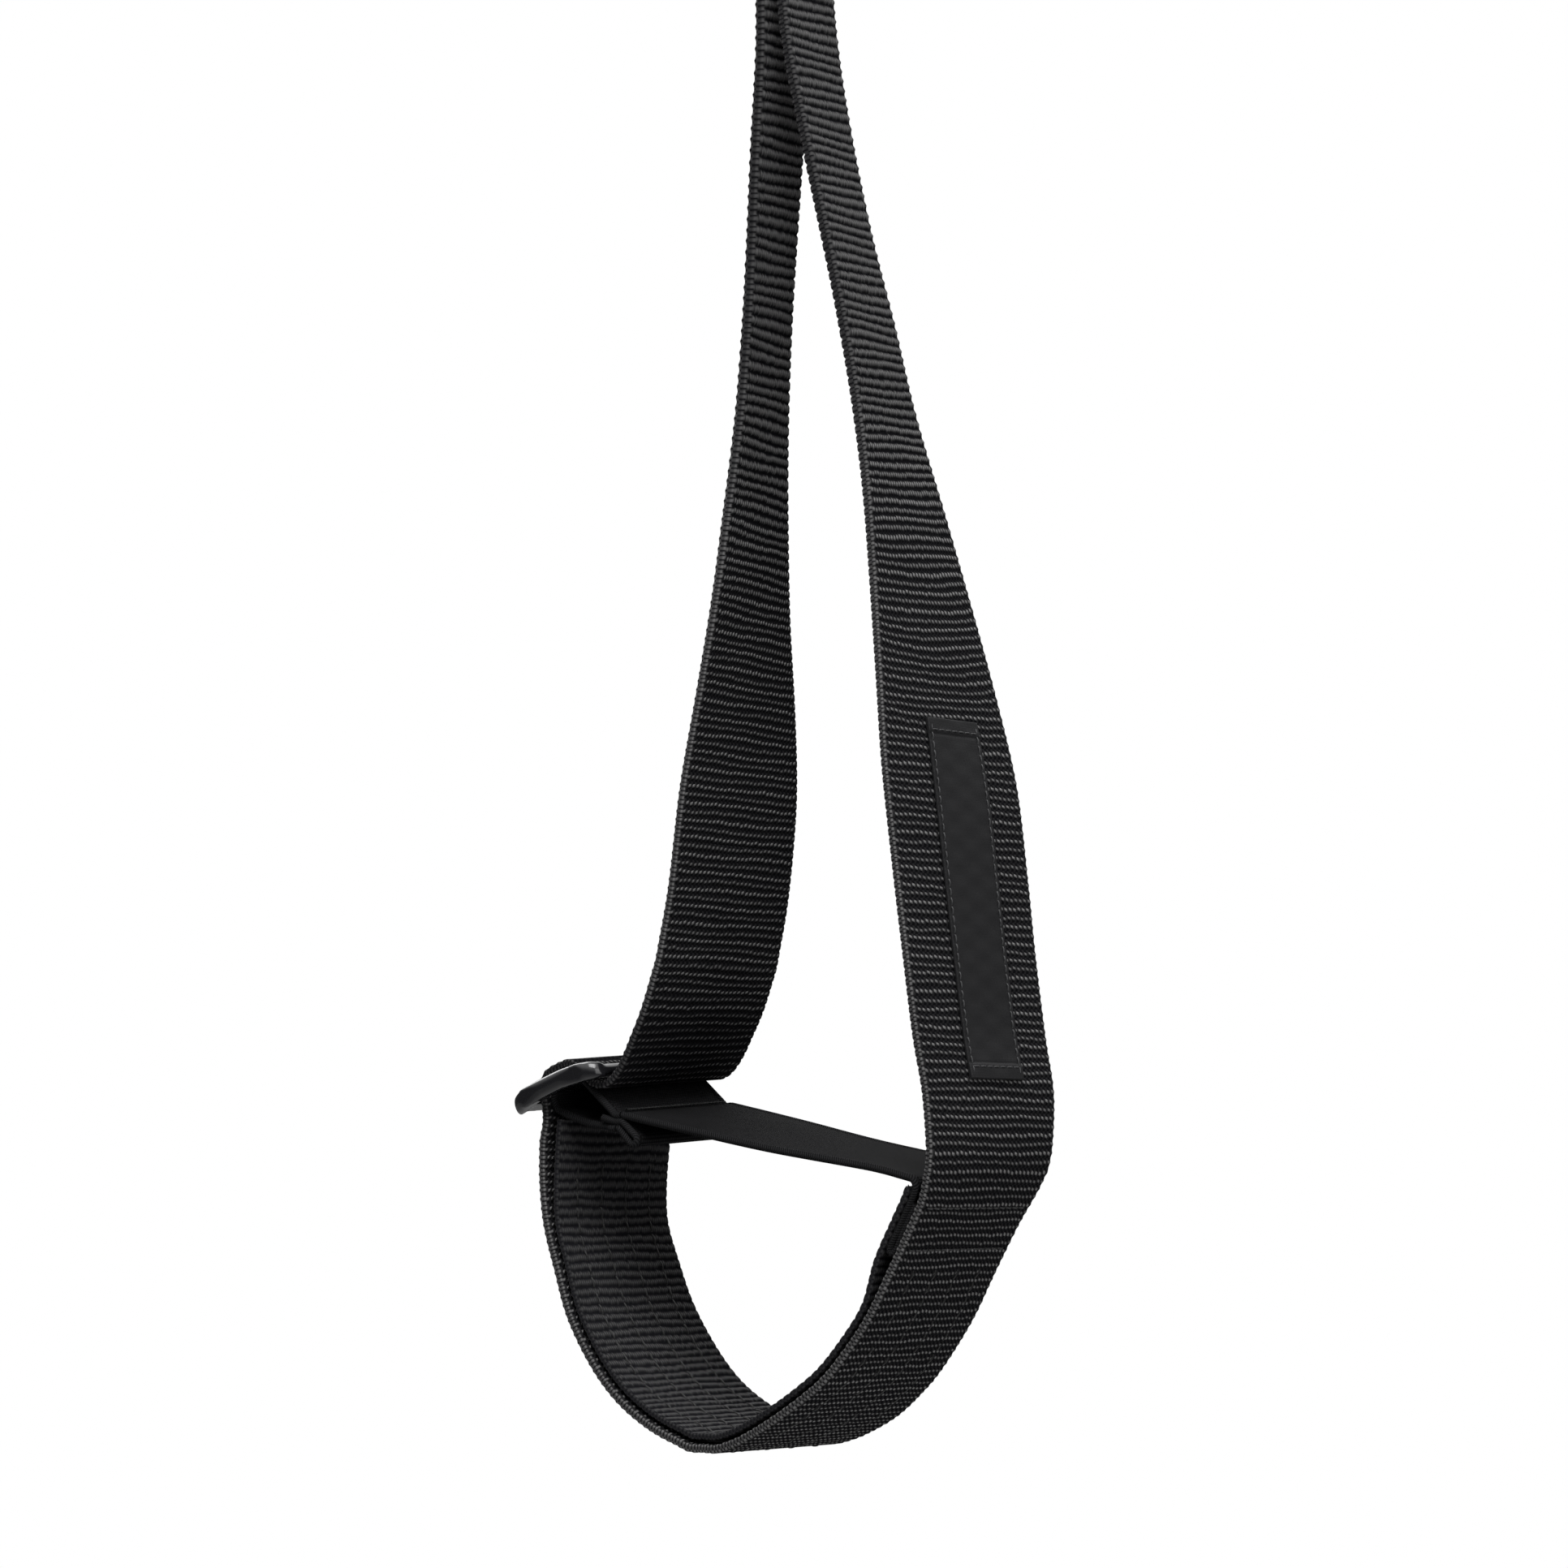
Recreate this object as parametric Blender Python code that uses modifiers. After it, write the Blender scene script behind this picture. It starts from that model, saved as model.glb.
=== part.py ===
"""Foot-loop etrier: a webbing loop with a clip-in eye, a wide padded step and an adjustable instep strap.

Metres, +Z up. X runs across the step, Y along the width of the webbing.
The origin is where a carabiner bears in the clip-in eye, and the loop hangs below it.
Heights in the sizes below are counted from the line of the step's two upper corners.
"""

import math

import bmesh
import bpy
from mathutils import Matrix, Vector

# Webbing, woven narrow and thick at the top and wide and thin round the foot
FOOT_WEBBING_WIDTH = 0.040
LEG_WEBBING_WIDTH = 0.0173
FOOT_WEBBING_THICKNESS = 0.0016
LEG_WEBBING_THICKNESS = 0.0024
WIDENING_TOP_HEIGHT = 0.206
WIDENING_BOTTOM_HEIGHT = 0.077
LAYER_GAP = 0.0003

# Loop
STEP_HALF_WIDTH = 0.054
STEP_DEPTH = 0.0556
LEG_RISE = 0.258

# Step lining and stiffener
LINING_WIDTH = 0.0385
LINING_THICKNESS = 0.0012
STIFFENER_WIDTH = 0.032
STIFFENER_THICKNESS = 0.0004
STIFFENER_END_GAP = 0.002
LINING_START = 0.002

# Clip-in eye and the stack of layers below it
JUNCTION_LENGTH = 0.014
NECK_LENGTH = 0.014
EYE_LENGTH = 0.056
EYE_INNER_HALF_WIDTH = 0.0085
EYE_SEWN_LENGTH = 0.012
EYE_TACK_SHARES = (0.28, 0.72)
EYE_TURN_SEGMENTS = 12
TAIL_END_RISE = 0.0015
JUNCTION_TACK_SHARES = (0.26, 0.74)
STACK_OFFSET = 0.0042

# Three-bar slider
SLIDER_OUTER_BAR = 0.0047
SLIDER_STEP_SLOT = 0.0047
SLIDER_CENTRE_BAR = 0.0060
SLIDER_LEG_SLOT = 0.0060
SLIDER_LEG_BAR = 0.0045
SLIDER_BAR_THICKNESS = 0.0024
SLIDER_RAIL_HEIGHT = 0.0042
SLIDER_RAIL_WIDTH = 0.0032
SLIDER_SIDE_CLEARANCE = 0.0015
SLIDER_PLAY = 0.0001
SLIDER_ARCH_RADIUS = 0.060
SLIDER_CORNER_RADIUS = 0.0062
SLIDER_EDGE_ROUND = 0.0009
SLIDER_CENTRE_OFFSET = -0.0458
SLIDER_CENTRE_HEIGHT = 0.0212
SLIDER_TILT = math.radians(19)
SLIDER_ROLL = math.radians(4)

# Instep elastic
ELASTIC_WIDTH = 0.038
ELASTIC_THICKNESS = 0.0011
ELASTIC_TACK_OFFSET = -0.0298
ELASTIC_TACK_HEIGHT = 0.0142
ELASTIC_END_LENGTH = 0.014
ELASTIC_END_FOLD = 0.011
JOINT_TAPER_LENGTH = 0.014
LINING_END_LIFT = 0.0012
LINING_END_RUN = 0.020
TAIL_FOLD_LENGTH = 0.0052
TAIL_STUB_LENGTH = 0.0040
TAIL_STUB_RISE = 0.0009
TAIL_LOOP_GAP = 0.0009
TACK_HALF_LENGTH = 0.0015
TACK_SPAN_SHARE = 0.94
TACK_ROW_SHARE = 0.45
TACK_UPPER_BACK_SHARE = 0.5
TACK_LOWER_BACK_SHARE = 1.7
TAIL_LEAN = Vector((math.cos(math.radians(-38)), 0, math.sin(math.radians(-38))))
STRAP_JOINT_HEIGHT = 0.003
LINING_TOP_DROP = 0.0080
ELASTIC_BEND_DROP = 0.0072
ELASTIC_BEND_RADIUS = 0.0015
ELASTIC_BEND_TURN = math.radians(104)
# Along the strap from the tack to the bend: shares of its run and of its fall
STRAP_SHARES = ((0.281, 0.289), (0.539, 0.555), (0.866, 0.840))
BRANCH_SHARES = ((-0.79, -0.37), (-0.78, -0.67), (-0.40, -1.06), (0.50, -1.70), (1.25, -2.08))

# Label
LABEL_WIDTH = 0.0150
LABEL_LENGTH = 0.0745
LABEL_THICKNESS = 0.0006
LABEL_OFFSET = 0.0020
LABEL_TOP_HEIGHT = 0.093

# Stitching
THREAD_THICKNESS = 0.0004
THREAD_ROW_WIDTH = 0.0010
BAR_TACK_THICKNESS = 0.0007
BAR_TACK_WIDTH = 0.0022
BAR_TACK_SPAN_SHARE = 0.84
JOINT_ROW_SHARES = (0.12, 0.82)
JOINT_ROW_SPAN_SHARE = 0.90
QUILT_END_MARGIN = 0.003
QUILT_ROWS = 4
QUILT_SPAN = 0.0250
LABEL_SEAM_INSET = 0.0012

# How finely the curves are divided
LEG_STEP = 0.0048
STEP_STEP = 0.0034
FOLD_STEP = 0.0009
CORNER_SEGMENTS = 5
SLIDER_EDGE_SEGMENTS = 2
TURN_SEGMENTS = 6

# The left leg from the stack down to the slider: height share of LEG_RISE, offset share of STEP_HALF_WIDTH,
# and how far the far edge stands across from the near edge, as a share of STEP_HALF_WIDTH
LEFT_LEG_SHARES = (
    (0.930, -0.004, -0.014),
    (0.853, -0.036, -0.030),
    (0.775, -0.063, -0.046),
    (0.698, -0.089, -0.083),
    (0.620, -0.115, -0.123),
    (0.543, -0.144, -0.141),
    (0.465, -0.170, -0.144),
    (0.388, -0.196, -0.102),
    (0.310, -0.234, -0.043),
    (0.233, -0.283, -0.030),
    (0.174, -0.348, -0.027),
)

# The right leg from the stack down to the step's corner, in the same shares
RIGHT_LEG_SHARES = (
    (0.930, 0.140, 0.000),
    (0.853, 0.220, -0.018),
    (0.775, 0.313, -0.023),
    (0.698, 0.414, -0.033),
    (0.620, 0.506, -0.062),
    (0.543, 0.600, -0.056),
    (0.465, 0.683, -0.031),
    (0.388, 0.759, 0.007),
    (0.310, 0.826, 0.056),
    (0.233, 0.876, 0.057),
    (0.174, 0.913, 0.048),
    (0.109, 0.959, 0.046),
    (0.065, 0.999, 0.038),
    (0.019, 1.002, 0.006),
)

# The step from its right corner round to below the slider: offset share of STEP_HALF_WIDTH,
# depth share of STEP_DEPTH, and the same share for the far edge
STEP_SHARES = (
    (0.978, 0.000, -0.015),
    (0.938, -0.084, -0.050),
    (0.882, -0.171, -0.067),
    (0.772, -0.349, -0.074),
    (0.660, -0.526, -0.068),
    (0.506, -0.704, -0.046),
    (0.396, -0.795, -0.018),
    (0.260, -0.884, 0.018),
    (0.130, -0.948, 0.018),
    (0.025, -0.986, 0.010),
    (-0.105, -1.012, 0.000),
    (-0.235, -0.979, -0.006),
    (-0.382, -0.927, -0.015),
    (-0.538, -0.838, -0.018),
    (-0.673, -0.713, -0.018),
    (-0.804, -0.535, -0.028),
    (-0.884, -0.357, -0.046),
    (-0.950, -0.178, -0.055),
    (-0.972, 0.000, -0.052),
    (-0.966, 0.143, -0.044),
)

# The webbing between the left leg and the slider, and between the slider and the step, in the legs' shares
WRAP_LEG_SHARES = ((0.136, -0.422), (0.109, -0.498))
WRAP_STEP_SHARES = ((0.050, -0.945),)

SLIDER_TURN = Matrix.Rotation(-SLIDER_TILT, 4, "Y") @ Matrix.Rotation(SLIDER_ROLL, 4, "X")
SLIDER_CENTRE = Vector((SLIDER_CENTRE_OFFSET, 0, SLIDER_CENTRE_HEIGHT))


def bar_edges():
    """The slider's bars along its length, from the step's side to the leg's side, as (start, end) pairs."""
    centre = SLIDER_CENTRE_BAR / 2
    step_bar_end = -centre - SLIDER_STEP_SLOT
    leg_bar_start = centre + SLIDER_LEG_SLOT
    return (
        (step_bar_end - SLIDER_OUTER_BAR, step_bar_end),
        (-centre, centre),
        (leg_bar_start, leg_bar_start + SLIDER_LEG_BAR),
    )


def arch(along):
    """Height of the slider's middle surface below its crown."""
    return -along * along / (2 * SLIDER_ARCH_RADIUS)


def from_slider(along, across, up):
    """A point given in the slider's own directions, in the loop's frame."""
    return SLIDER_CENTRE + SLIDER_TURN @ Vector((along, across, up))


def bearing_height():
    """Height of the inside of the eye's top, where a carabiner bears."""
    return LEG_RISE + JUNCTION_LENGTH + NECK_LENGTH + EYE_LENGTH


def ease(share):
    share = min(max(share, 0), 1)
    return share * share * (3 - 2 * share)


def widening(height):
    """0 where the webbing is narrow and thick, 1 where it is wide and thin."""
    return ease((WIDENING_TOP_HEIGHT - height) / (WIDENING_TOP_HEIGHT - WIDENING_BOTTOM_HEIGHT))


def webbing_width(height):
    return LEG_WEBBING_WIDTH + (FOOT_WEBBING_WIDTH - LEG_WEBBING_WIDTH) * widening(height)


def webbing_thickness(height):
    return LEG_WEBBING_THICKNESS + (FOOT_WEBBING_THICKNESS - LEG_WEBBING_THICKNESS) * widening(height)


def smooth(points, step):
    """Catmull-Rom curve through the points, divided into lengths of about one step."""
    points = [Vector(point) for point in points]
    ends = [2 * points[0] - points[1]] + points + [2 * points[-1] - points[-2]]
    curve = []
    for before, start, end, after in zip(ends, ends[1:], ends[2:], ends[3:]):
        count = max(1, round((end - start).length / step))
        for index in range(count):
            t = index / count
            curve.append(
                (
                    2 * start
                    + (end - before) * t
                    + (2 * before - 5 * start + 4 * end - after) * t**2
                    + (3 * start - before - 3 * end + after) * t**3
                )
                / 2
            )
    return curve + [points[-1]]


def arc(centre, radius, start, end, segments=TURN_SEGMENTS):
    """Points on an arc in the slider's side view, angles in degrees from its leg end."""
    points = []
    for index in range(segments + 1):
        angle = math.radians(start + (end - start) * index / segments)
        points.append((centre[0] + radius * math.cos(angle), centre[1] + radius * math.sin(angle)))
    return points


class Strip:
    """A flat strap: pairs of near and far edge points, with the direction of its thickness at each pair."""

    def __init__(self, near, far, thickness):
        self.near = near
        self.far = far
        self.thickness = thickness

    def normals(self):
        """Unit normals, on the left of the strap as it runs when seen along +Y."""
        middles = [(a + b) / 2 for a, b in zip(self.near, self.far)]
        found = []
        for index, (near, far) in enumerate(zip(self.near, self.far)):
            before = middles[max(index - 1, 0)]
            after = middles[min(index + 1, len(middles) - 1)]
            found.append((after - before).cross(far - near).normalized())
        return found

    def offset(self, distance, low=0.0, high=1.0):
        """The strip moved along its normals by a distance, or one a pair, and cut to shares of its width."""
        near = []
        far = []
        distances = distance if isinstance(distance, list) else [distance] * len(self.near)
        for a, b, normal, distance in zip(self.near, self.far, self.normals(), distances):
            near.append(a.lerp(b, low) + normal * distance)
            far.append(a.lerp(b, high) + normal * distance)
        return Strip(near, far, self.thickness)

    def with_thickness(self, thickness):
        return Strip(self.near, self.far, [thickness] * len(self.near))

    def lengths(self):
        """Running length along the middle at each pair."""
        middles = [(a + b) / 2 for a, b in zip(self.near, self.far)]
        total = [0.0]
        for a, b in zip(middles, middles[1:]):
            total.append(total[-1] + (b - a).length)
        return total

    def between(self, start, end):
        """The stretch between two running lengths, with new pairs at both cuts."""
        total = self.lengths()

        def cut(length):
            index = max(i for i in range(len(total) - 1) if total[i] <= max(length, 0.0))
            share = (length - total[index]) / (total[index + 1] - total[index])
            share = min(max(share, 0), 1)
            thickness = self.thickness[index] * (1 - share) + self.thickness[index + 1] * share
            return (
                self.near[index].lerp(self.near[index + 1], share),
                self.far[index].lerp(self.far[index + 1], share),
                thickness,
            )

        inside = [i for i in range(len(total)) if start < total[i] < end]
        spare = FOLD_STEP / 2
        inside = [i for i in inside if total[i] - start > spare and end - total[i] > spare]
        pairs = [cut(start)]
        pairs += [(self.near[i], self.far[i], self.thickness[i]) for i in inside]
        pairs.append(cut(end))
        return Strip(*[list(column) for column in zip(*pairs)])

    def cut_at(self, border):
        """The same strap with a pair of its own at the given length from each end."""
        length = self.lengths()[-1]
        whole = self.between(0, border)
        for start, end in ((border, length - border), (length - border, length)):
            piece = self.between(start, end)
            whole.near += piece.near[1:]
            whole.far += piece.far[1:]
            whole.thickness += piece.thickness[1:]
        return whole


def strip_along(centres, shifts, widths, thicknesses):
    """A strip whose width runs along Y, with the far edge shifted from the near one by the given vectors."""
    near = []
    far = []
    for centre, shift, width in zip(centres, shifts, widths):
        across = Vector((0, 1, 0)) * width + shift
        across *= width / across.length
        near.append(centre - across / 2)
        far.append(centre + across / 2)
    return Strip(near, far, list(thicknesses))


def clear_scene():
    for obj in list(bpy.data.objects):
        bpy.data.objects.remove(obj)


def make_collection(name):
    collection = bpy.data.collections.new(name)
    bpy.context.scene.collection.children.link(collection)
    return collection


def make_material(name, colour, roughness, metallic=0.0):
    material = bpy.data.materials.new(name)
    material.use_nodes = True
    shader = material.node_tree.nodes["Principled BSDF"]
    shader.inputs["Base Color"].default_value = (*colour, 1)
    shader.inputs["Roughness"].default_value = roughness
    shader.inputs["Metallic"].default_value = metallic
    material.diffuse_color = (*colour, 1)
    return material


def add_mesh(name, kind, mesh, origin=Vector()):
    """Adds a mesh made in the loop's frame, with the object's origin at the given point of that frame."""
    mesh.transform(Matrix.Translation(-origin))
    mesh.materials.append(bpy.data.materials[kind])
    obj = bpy.data.objects.new(name, mesh)
    obj.location = origin - Vector((STACK_OFFSET, 0, bearing_height()))
    bpy.data.collections[COLLECTION].objects.link(obj)
    return obj


def add_strip(name, kind, strip, origin=Vector(), border=None):
    """A strap as one solid: a grid laid along it, given its thickness by Solidify.

    With a border, the middle is left open and only a frame of that width stays, as a sewn seam does.
    """
    if border is not None:
        strip = strip.cut_at(border)
    count = len(strip.near)
    width = (strip.far[0] - strip.near[0]).length
    across = [0, 1] if border is None else [0, border / width, 1 - border / width, 1]
    thickest = max(strip.thickness)
    mesh_data = bmesh.new()
    weights = mesh_data.verts.layers.deform.verify()
    grid = bmesh.ops.create_grid(mesh_data, x_segments=count - 1, y_segments=len(across) - 1, size=1)
    verts = sorted(grid["verts"], key=lambda vert: (round(vert.co.y, 3), vert.co.x))
    if border is not None:
        middle = [face for face in mesh_data.faces if not any(edge.is_boundary for edge in face.edges)]
        bmesh.ops.delete(mesh_data, geom=middle, context="FACES")
    for row, share in enumerate(across):
        for index in range(count):
            vert = verts[row * count + index]
            vert.co = strip.near[index].lerp(strip.far[index], share)
            vert[weights][0] = strip.thickness[index] / thickest
    mesh = bpy.data.meshes.new(name)
    mesh_data.to_mesh(mesh)
    mesh_data.free()
    obj = add_mesh(name, kind, mesh, origin)
    obj.vertex_groups.new(name="thickness")
    solid = obj.modifiers.new("Thickness", "SOLIDIFY")
    solid.thickness = thickest
    solid.offset = 0
    solid.use_even_offset = True
    solid.vertex_group = "thickness"
    return obj


def leg_points(shares):
    """Middles and far-edge shifts of a leg, from its table of shares."""
    middles = [Vector((offset * STEP_HALF_WIDTH, 0, rise * LEG_RISE)) for rise, offset, _ in shares]
    shifts = [Vector((shift * STEP_HALF_WIDTH, 0, 0)) for _, _, shift in shares]
    return middles, shifts


def smooth_strip(middles, shifts, step):
    """A strip of the main webbing through the middles, its width and thickness set by the height."""
    curve = smooth([(*middle, *shift) for middle, shift in zip(middles, shifts)], step)
    centres = [Vector(row[:3]) for row in curve]
    turns = [Vector(row[3:]) for row in curve]
    widths = [webbing_width(centre.z) for centre in centres]
    return strip_along(centres, turns, widths, [webbing_thickness(centre.z) for centre in centres])


def stack_offset(layer):
    """Place across the stack of four layers above the legs, for layers 0 to 3 from the left."""
    return (layer - 1.5) * (LEG_WEBBING_THICKNESS + LAYER_GAP)


def upright(layer, low, high):
    """A straight upright stretch of narrow webbing in the stack."""
    middles = [Vector((STACK_OFFSET + stack_offset(layer), 0, z)) for z in (low, high)]
    still = [Vector()] * 2
    thick = [LEG_WEBBING_THICKNESS] * 2
    return strip_along(middles, still, [LEG_WEBBING_WIDTH] * 2, thick)


def slider_shift(width):
    """How far the far edge stands from square to the near edge on a strap that follows the slider."""
    return SLIDER_TURN @ Vector((0, width, 0)) - Vector((0, width, 0))


def bar_corner(edge, inward, side):
    """Centre of a slider bar's rounded corner: inward is +1 or -1 along the slider, side -1 for below."""
    up = arch(edge) + side * (SLIDER_BAR_THICKNESS / 2 - SLIDER_EDGE_ROUND)
    return edge + inward * SLIDER_EDGE_ROUND, up


def hug(distance):
    """Radius of a strap's middle round a bar's corner, at a distance from the bar's skin."""
    return SLIDER_EDGE_ROUND + distance


def wrap_path():
    """Middles of the webbing through the slider: under the leg's bar, over the centre bar, down the slot."""
    bars = bar_edges()
    close = hug(LAYER_GAP + SLIDER_PLAY + FOOT_WEBBING_THICKNESS / 2)
    over = hug(2 * LAYER_GAP + ELASTIC_THICKNESS + FOOT_WEBBING_THICKNESS / 2)
    path = arc(bar_corner(bars[2][1], -1, -1), close, -40, -90)
    path += arc(bar_corner(bars[2][0], 1, -1), close, -90, -144)
    path += arc(bar_corner(bars[1][1], -1, 1), over, 36, 90)
    path += arc(bar_corner(bars[1][0], 1, 1), over, 90, 180)
    return path


def main_webbing():
    """The whole loop of webbing in its four stretches, as strips that run on from one to the next."""
    top = LEG_RISE + JUNCTION_LENGTH
    still = Vector()
    left, left_shifts = leg_points(LEFT_LEG_SHARES)
    left_x = STACK_OFFSET + stack_offset(0)
    left = [Vector((left_x, 0, top)), Vector((left_x, 0, LEG_RISE))] + left
    left_leg = smooth_strip(left, [still, still] + left_shifts, LEG_STEP)

    right, right_shifts = leg_points(RIGHT_LEG_SHARES)
    right_x = STACK_OFFSET + stack_offset(2)
    right = [Vector((right_x, 0, top)), Vector((right_x, 0, LEG_RISE))] + right
    right_shifts = [still, still] + right_shifts
    step = [Vector((offset * STEP_HALF_WIDTH, 0, depth * STEP_DEPTH)) for offset, depth, _ in STEP_SHARES]
    step_shifts = [Vector((shift * STEP_HALF_WIDTH, 0, 0)) for _, _, shift in STEP_SHARES]
    rest = smooth_strip((right + step)[::-1], (right_shifts + step_shifts)[::-1], STEP_STEP)
    for edge in (rest.near, rest.far):
        for point in edge:
            point.z = max(point.z, -STEP_DEPTH)

    shift = slider_shift(FOOT_WEBBING_WIDTH)
    upper, lower = (
        [Vector((offset * STEP_HALF_WIDTH, 0, rise * LEG_RISE)) for rise, offset in shares]
        for shares in (WRAP_LEG_SHARES, WRAP_STEP_SHARES)
    )
    turn = [from_slider(along, 0, up) for along, up in wrap_path()]
    into = smooth([left[-1], *upper, turn[0]], FOLD_STEP * 2)[:-1]
    out = smooth([turn[-1], *lower, step[-1]], FOLD_STEP * 2)[1:]
    middles = into + turn + out
    shifts = [left_shifts[-1].lerp(shift, ease(i / len(into))) for i in range(len(into))]
    shifts += [shift] * len(turn)
    shifts += [shift.lerp(step_shifts[-1], ease((i + 1) / len(out))) for i in range(len(out))]
    widths = [webbing_width(middle.z) for middle in middles]
    wrap = strip_along(middles, shifts, widths, [webbing_thickness(middle.z) for middle in middles])
    return left_leg, wrap, rest


def trim(strip, start=0.0, end=0.0):
    """The strip with half a layer gap, or a given length, cut from each end."""
    length = strip.lengths()[-1]
    return strip.between(max(start, LAYER_GAP / 2), length - max(end, LAYER_GAP / 2))


def length_at_height(strip, height):
    """Running length at which a strip that climbs to its end last passes a height."""
    total = strip.lengths()
    heights = [(a.z + b.z) / 2 for a, b in zip(strip.near, strip.far)]
    index = max(i for i in range(len(heights) - 1) if heights[i] <= height)
    share = (height - heights[index]) / (heights[index + 1] - heights[index])
    return total[index] + share * (total[index + 1] - total[index])


def eye_layer():
    """The inner layer of the clip-in eye, up its left side, over the top and down."""
    base = LEG_RISE + JUNCTION_LENGTH + NECK_LENGTH
    radius = EYE_INNER_HALF_WIDTH + LEG_WEBBING_THICKNESS / 2
    crown = base + EYE_LENGTH - EYE_INNER_HALF_WIDTH
    sewn_top = base + EYE_SEWN_LENGTH
    spread = -radius - stack_offset(1)
    steps = round((crown - sewn_top) / LEG_STEP)
    side = [Vector((stack_offset(1), 0, base))]
    for step in range(steps):
        share = step / steps
        height = sewn_top + (crown - sewn_top) * share
        side.append(Vector((stack_offset(1) + spread * ease(share), 0, height)))
    over = [
        Vector((radius * math.cos(angle), 0, crown + radius * math.sin(angle)))
        for angle in (math.pi * (1 - step / EYE_TURN_SEGMENTS) for step in range(EYE_TURN_SEGMENTS + 1))
    ]
    back = [Vector((-point.x, 0, point.z)) for point in side[::-1]]
    middles = [point + Vector((STACK_OFFSET, 0, 0)) for point in side + over + back]
    count = len(middles)
    still = [Vector()] * count
    return strip_along(middles, still, [LEG_WEBBING_WIDTH] * count, [LEG_WEBBING_THICKNESS] * count)


def add_stack_tacks(name, heights):
    """Bar tacks across both faces of the four-layer stack, one pair at each height."""
    face = stack_offset(3) + LEG_WEBBING_THICKNESS / 2 + LAYER_GAP + BAR_TACK_THICKNESS / 2
    width = LEG_WEBBING_WIDTH * BAR_TACK_SPAN_SHARE
    for number, height in enumerate(heights, 1):
        for side, sign in (("left", -1), ("right", 1)):
            across = STACK_OFFSET + sign * face
            middles = [Vector((across, 0, height + end * BAR_TACK_WIDTH / 2)) for end in (-1, 1)]
            pad = strip_along(middles, [Vector()] * 2, [width] * 2, [BAR_TACK_THICKNESS] * 2)
            add_strip(f"{name}_{side}_{number}", "bar_tack", pad)


def add_eye():
    layer = eye_layer()
    trimmed = trim(layer)
    add_strip("eye_inner_layer", "eye_webbing", trimmed)
    add_strip("eye_outer_layer", "eye_webbing", trimmed.offset(LEG_WEBBING_THICKNESS + LAYER_GAP))
    base = LEG_RISE + JUNCTION_LENGTH + NECK_LENGTH
    add_stack_tacks("eye_bar_tack", [base + EYE_SEWN_LENGTH * share for share in EYE_TACK_SHARES])


def add_stack():
    """The flexible neck, the tucked-in webbing ends and the bar tacks that close the loop."""
    top = LEG_RISE + JUNCTION_LENGTH
    half = LAYER_GAP / 2
    for layer in range(4):
        neck = upright(layer, top + half, top + NECK_LENGTH - half)
        add_strip(f"neck_layer_{layer + 1}", "neck_webbing", neck, neck_centre())
    for side, layer in (("left", 1), ("right", 3)):
        end = upright(layer, LEG_RISE + TAIL_END_RISE, top - half)
        add_strip(f"webbing_end_{side}", "leg_webbing", end)
    heights = [LEG_RISE + JUNCTION_LENGTH * share for share in JUNCTION_TACK_SHARES]
    add_stack_tacks("junction_bar_tack", heights)


def neck_centre():
    return Vector((STACK_OFFSET, 0, LEG_RISE + JUNCTION_LENGTH + NECK_LENGTH / 2))


def elastic_layer_distance(layer):
    """From the middle of the outer webbing to the middle of the folded elastic end, layer 0 or 1."""
    return FOOT_WEBBING_THICKNESS / 2 + (layer + 0.5) * ELASTIC_THICKNESS + (layer + 1) * LAYER_GAP


def lining_distances(strip, after_start, below_top, extra=0.0):
    """From the middle of the outer webbing to the middle of the lining, or to extra beyond it, at each pair.

    The strip starts and ends at the given running lengths from the lining's two ends. The folded elastic
    thickens the joint at its top, and its other end stands off a little.
    """
    lengths = strip.lengths()
    close = FOOT_WEBBING_THICKNESS / 2 + STIFFENER_THICKNESS + 2 * LAYER_GAP + LINING_THICKNESS / 2
    spread = elastic_layer_distance(1) + ELASTIC_THICKNESS / 2 + LAYER_GAP + LINING_THICKNESS / 2 - close
    distances = []
    for length in lengths:
        past_end = below_top + lengths[-1] - length - ELASTIC_END_LENGTH - LAYER_GAP
        lift = LINING_END_LIFT * ease(1 - (after_start + length) / LINING_END_RUN)
        distances.append(close + spread * ease(1 - past_end / JOINT_TAPER_LENGTH) + lift + extra)
    return distances


def narrowed(strip, distance, width, thickness):
    """A strip at a distance inside the outer webbing, centred on it, with its own width and thickness."""
    share = width / FOOT_WEBBING_WIDTH
    return strip.offset(distance, (1 - share) / 2, (1 + share) / 2).with_thickness(thickness)


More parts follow.
